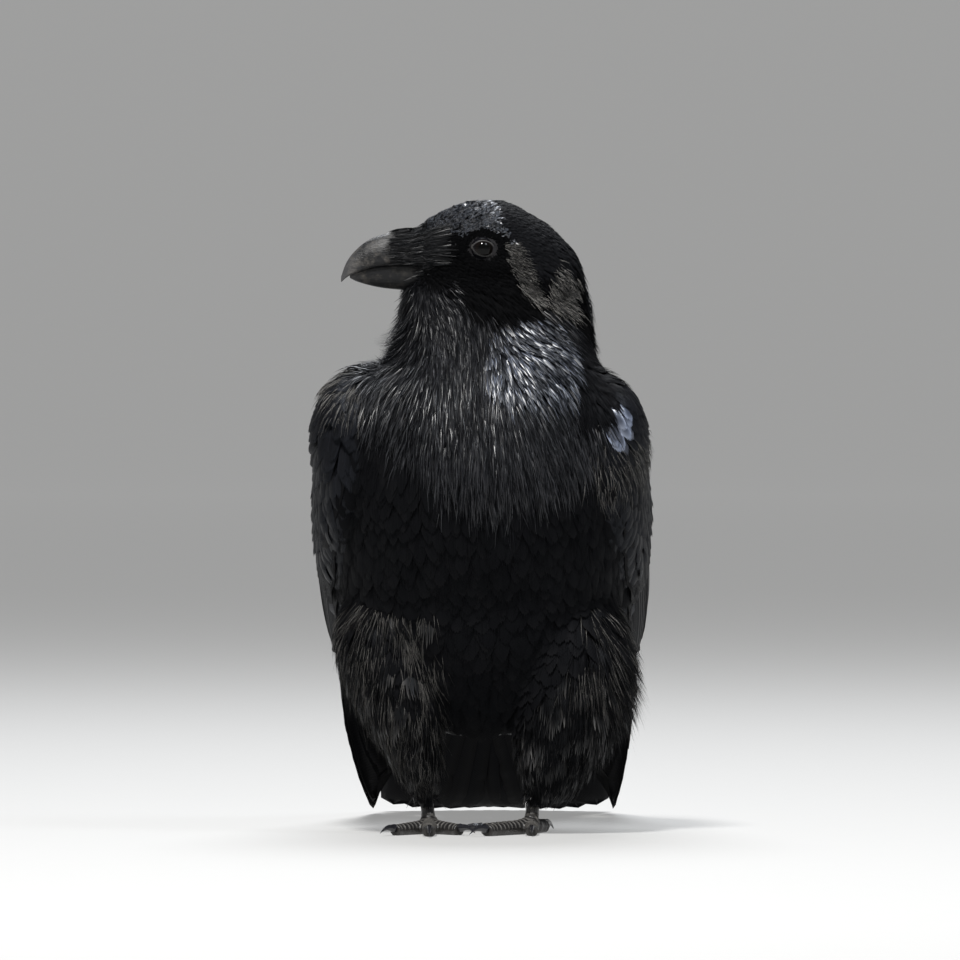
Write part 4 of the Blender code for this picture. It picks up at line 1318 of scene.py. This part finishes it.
for side, outward in (("left", 1.0), ("right", -1.0)):
    sheet = Sheet((f"wing_{side}", f"primaries_{side}"), bodyPlace(wingPlane["wrist"]),
                  np.vstack((wingAxes @ bodyAxes, (outward, 0, 0))), (-30, -60), (160, 50), 200, 3,
                  side == "right")
    layQuills(f"primary_quills_{side}", sheet, primaryQuills(), f"primaries_{side}")
    layQuills(f"secondary_quills_{side}", sheet, innerQuills())
    layQuills(f"greater_coverts_{side}", sheet, greaterCoverts())
tailAxes = np.array(((0.0, 1, 0), (1, 0, 0), (0, 0, 1)))  # back, left and up
tailSheet = Sheet(("tail",), bodyStart, tailAxes, (130, -72), (82, 49), 300, 2, True, floor=True)
layQuills("tail_quills", tailSheet, tailQuills(), "tail")

footLook = {"voxel": 0.6, "scute": 3.7, "height": 0.42, "side": 31, "clawVoxel": 0.4, "ankle": 12.5,
            "wide": 8}
toes = ("inner", "middle", "outer", "hind")


def footFinish():
    made = Finish("scuted_skin")
    rim, sole = made.mark("rim"), made.mark("sole")
    cloud = made.noise(0.004, 1.0, 4)
    grains = made.node("TexVoronoi", {"feature": "F1"}, Vector=made.places(0.004), Scale=5.0)
    base = made.mix(cloud, (0.006, 0.006, 0.0065), (0.019, 0.018, 0.018))
    base = made.mix((sole * 0.6).clip(), base, (0.04, 0.036, 0.032))
    # pale: a painted highlight along the plates' upward edges
    pale = ((rim * (cloud * 0.9 + 0.3)).clip() * 0.8).clip()
    return made.set(Base_Color=made.mix(pale, base, (0.2, 0.19, 0.175)), Specular_IOR_Level=0.5,
                    Roughness=(cloud * 0.25 + rim * 0.1 + 0.24).clip(),
                    Normal=made.bump(grains * (sole * 1.2 + 0.1) + cloud * 0.3, 0.25, 0.6))


def clawFinish():
    made = Finish("horn_claw")
    cloud = made.noise(0.003, 1.0, 4)
    return made.set(Base_Color=made.mix(cloud, (0.006, 0.006, 0.008), (0.02, 0.02, 0.024)),
                    Roughness=(cloud * 0.2 + 0.1).clip(), Normal=made.bump(cloud, 0.12, 0.5),
                    Specular_IOR_Level=0.6, Coat_Weight=0.2, Coat_Roughness=0.15)


def buildFoot(side, sign):
    # plates across the top of each toe and down the front of the shank, over a padded sole; the plates'
    # upward edges carry a painted highlight
    piece = remeshed(copyOf([f"foot_{side}"], f"scuted_foot_{side}"), footLook["voxel"], 3)
    points, normals = pointsOf(piece), normalsOf(piece)
    hub = bodyPlace((sign * footLook["side"], 0, 0))
    away = points - hub
    best, along = np.full(len(points), 1e9), np.zeros(len(points))
    for toe in toes:
        run = sum(np.array(corner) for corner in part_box(f"claw_{toe}_{side}")) / 2 - hub
        run = unit(run * (1, 1, 0))
        s = away @ run
        gap = np.linalg.norm((away - s[:, None] * run)[:, :2], axis=1)
        gap = np.where(s < 2 * mm, gap + 20 * mm, gap)
        best, along = np.minimum(gap, best), np.where(gap < best, s / mm, along)
    shank = (points[:, 2] > footLook["ankle"] * mm) | (best > footLook["wide"] * mm)
    along = np.where(shank, points[:, 2] / mm * 0.9, along)
    upward = np.where(shank, normals @ bodyAxes[1], normals[:, 2])
    topSide = np.clip((upward + 0.05) * 2.4, 0, 1)
    phase = (along / footLook["scute"]) % 1
    plate = np.clip(np.minimum(phase / 0.82, (1 - phase) / 0.18), 0, 1) ** 0.7
    swell = (plate * topSide * footLook["height"] * mm - 0.1 * mm * topSide) * (points[:, 2] > 0.3 * mm)
    setPoints(piece, points + normals * swell[:, None])
    # rim: the upward-facing edge of each plate, painted paler as highlight
    addMark(piece, "rim", np.exp(-((phase - 0.80) / 0.09) ** 2) * np.clip((topSide - 0.3) * 1.6, 0, 1))
    addMark(piece, "sole", np.clip(0.5 - upward * 1.2, 0, 1) * ~shank)
    return finishPiece(piece, scutedSkin, "scute", f"foot_{side}")


scutedSkin, hornClaw = footFinish(), clawFinish()
for side, sign in (("left", 1), ("right", -1)):
    buildFoot(side, sign)
    for toe in toes:
        claw = remeshed(copyOf([f"claw_{toe}_{side}"], f"horn_{toe}_{side}"), footLook["clawVoxel"], 3)
        finishPiece(claw, hornClaw, "horn", f"claw_{toe}_{side}")
report("feet and claws")

stageLook = {  # metres, degrees and watts
    "camera": (1.6, 1.0, 9.0), "sensor": 36, "frame": 0.582, "middle": 0.2145, "floor": 11.0, "rim": 2.4,
    "lit": 0.24, "glow": 1.22, "world": (0.9, 0.93, 0.97, 1), "worldPower": 0.1,
    # azimuth, elevation and distance, then size, power and colour
    "key": ((-12, 56, 3.2), 0.5, 175, (1.0, 0.985, 0.96)),
    "fill": ((50, 46, 3.0), 0.9, 26, (0.88, 0.94, 1.0)),
    "back": ((182, 58, 3.0), 2.0, 120, (0.95, 0.97, 1.0)),
}


def floorFinish():
    # pale and a little bright of its own, so that it stays plain all over
    made = Finish("studio_floor")
    colour = (0.24, 0.24, 0.238)
    grain = made.noise(1 / 40, 1.0, 3)
    return made.set(Base_Color=made.mix(grain, colour, tuple(c * 0.97 for c in colour)), Roughness=0.8,
                    Emission_Color=colour, Emission_Strength=stageLook["glow"])


def buildFloor():
    # a round floor whose rim curves up into a low wall, so that every view has the same plain ground
    bpy.ops.object.select_all(action="DESELECT")
    bpy.ops.mesh.primitive_circle_add(vertices=96, radius=stageLook["floor"], fill_type="NGON",
                                      location=(0, 0, 0))
    floor = bpy.context.object
    floor.name = "studio_floor"
    angles = np.radians(np.linspace(0, 90, 13))
    radii = stageLook["floor"] + stageLook["rim"] * np.sin(angles)
    bpy.ops.object.mode_set(mode="EDIT")
    for step in range(1, 13):
        rise = float(stageLook["rim"] * (math.cos(angles[step - 1]) - math.cos(angles[step])))
        wide = float(radii[step] / radii[step - 1])
        bpy.ops.mesh.select_all(action="DESELECT")
        mesh = bmesh.from_edit_mesh(floor.data)
        for line in mesh.edges:
            line.select = line.is_boundary
        mesh.select_flush(True)
        bpy.ops.mesh.extrude_edges_move(TRANSFORM_OT_translate={"value": (0, 0, rise)})
        bpy.ops.transform.resize(value=(wide, wide, 1))
    bpy.ops.object.mode_set(mode="OBJECT")
    bpy.ops.object.shade_smooth()
    floor.data.materials.append(floorFinish())


def hang(name, data, height, azimuth, elevation, distance):
    # a light or the camera, which looks at a height over the ankles
    a, e = math.radians(azimuth), math.radians(elevation)
    back = Vector((math.sin(a) * math.cos(e), -math.cos(a) * math.cos(e), math.sin(e)))
    thing = bpy.data.objects.new(name, data)
    thing.location = Vector((0, bodyStart[1], height)) + back * distance
    thing.rotation_euler = back.to_track_quat("Z", "Y").to_euler()
    bpy.context.scene.collection.objects.link(thing)
    return thing


buildFloor()
for name in ("key", "fill", "back"):
    spot, size, power, colour = stageLook[name]
    lamp = bpy.data.lights.new(name, "AREA")
    lamp.shape, lamp.size, lamp.energy, lamp.color = "DISK", size, power, colour
    hang(name, lamp, stageLook["lit"], *spot)
world = bpy.data.worlds.new("studio")
bpy.context.scene.world = world
world.use_nodes = True
world.node_tree.nodes["Background"].inputs[0].default_value = stageLook["world"]
world.node_tree.nodes["Background"].inputs[1].default_value = stageLook["worldPower"]
bpy.context.scene.view_settings.view_transform = "Standard"
camera = hang("camera", bpy.data.cameras.new("camera"), stageLook["middle"], *stageLook["camera"])
camera.data.sensor_width = stageLook["sensor"]
camera.data.lens = stageLook["sensor"] * stageLook["camera"][2] / stageLook["frame"]
bpy.context.scene.camera = camera
report(f"coat {sum(coatCount)} triangles")
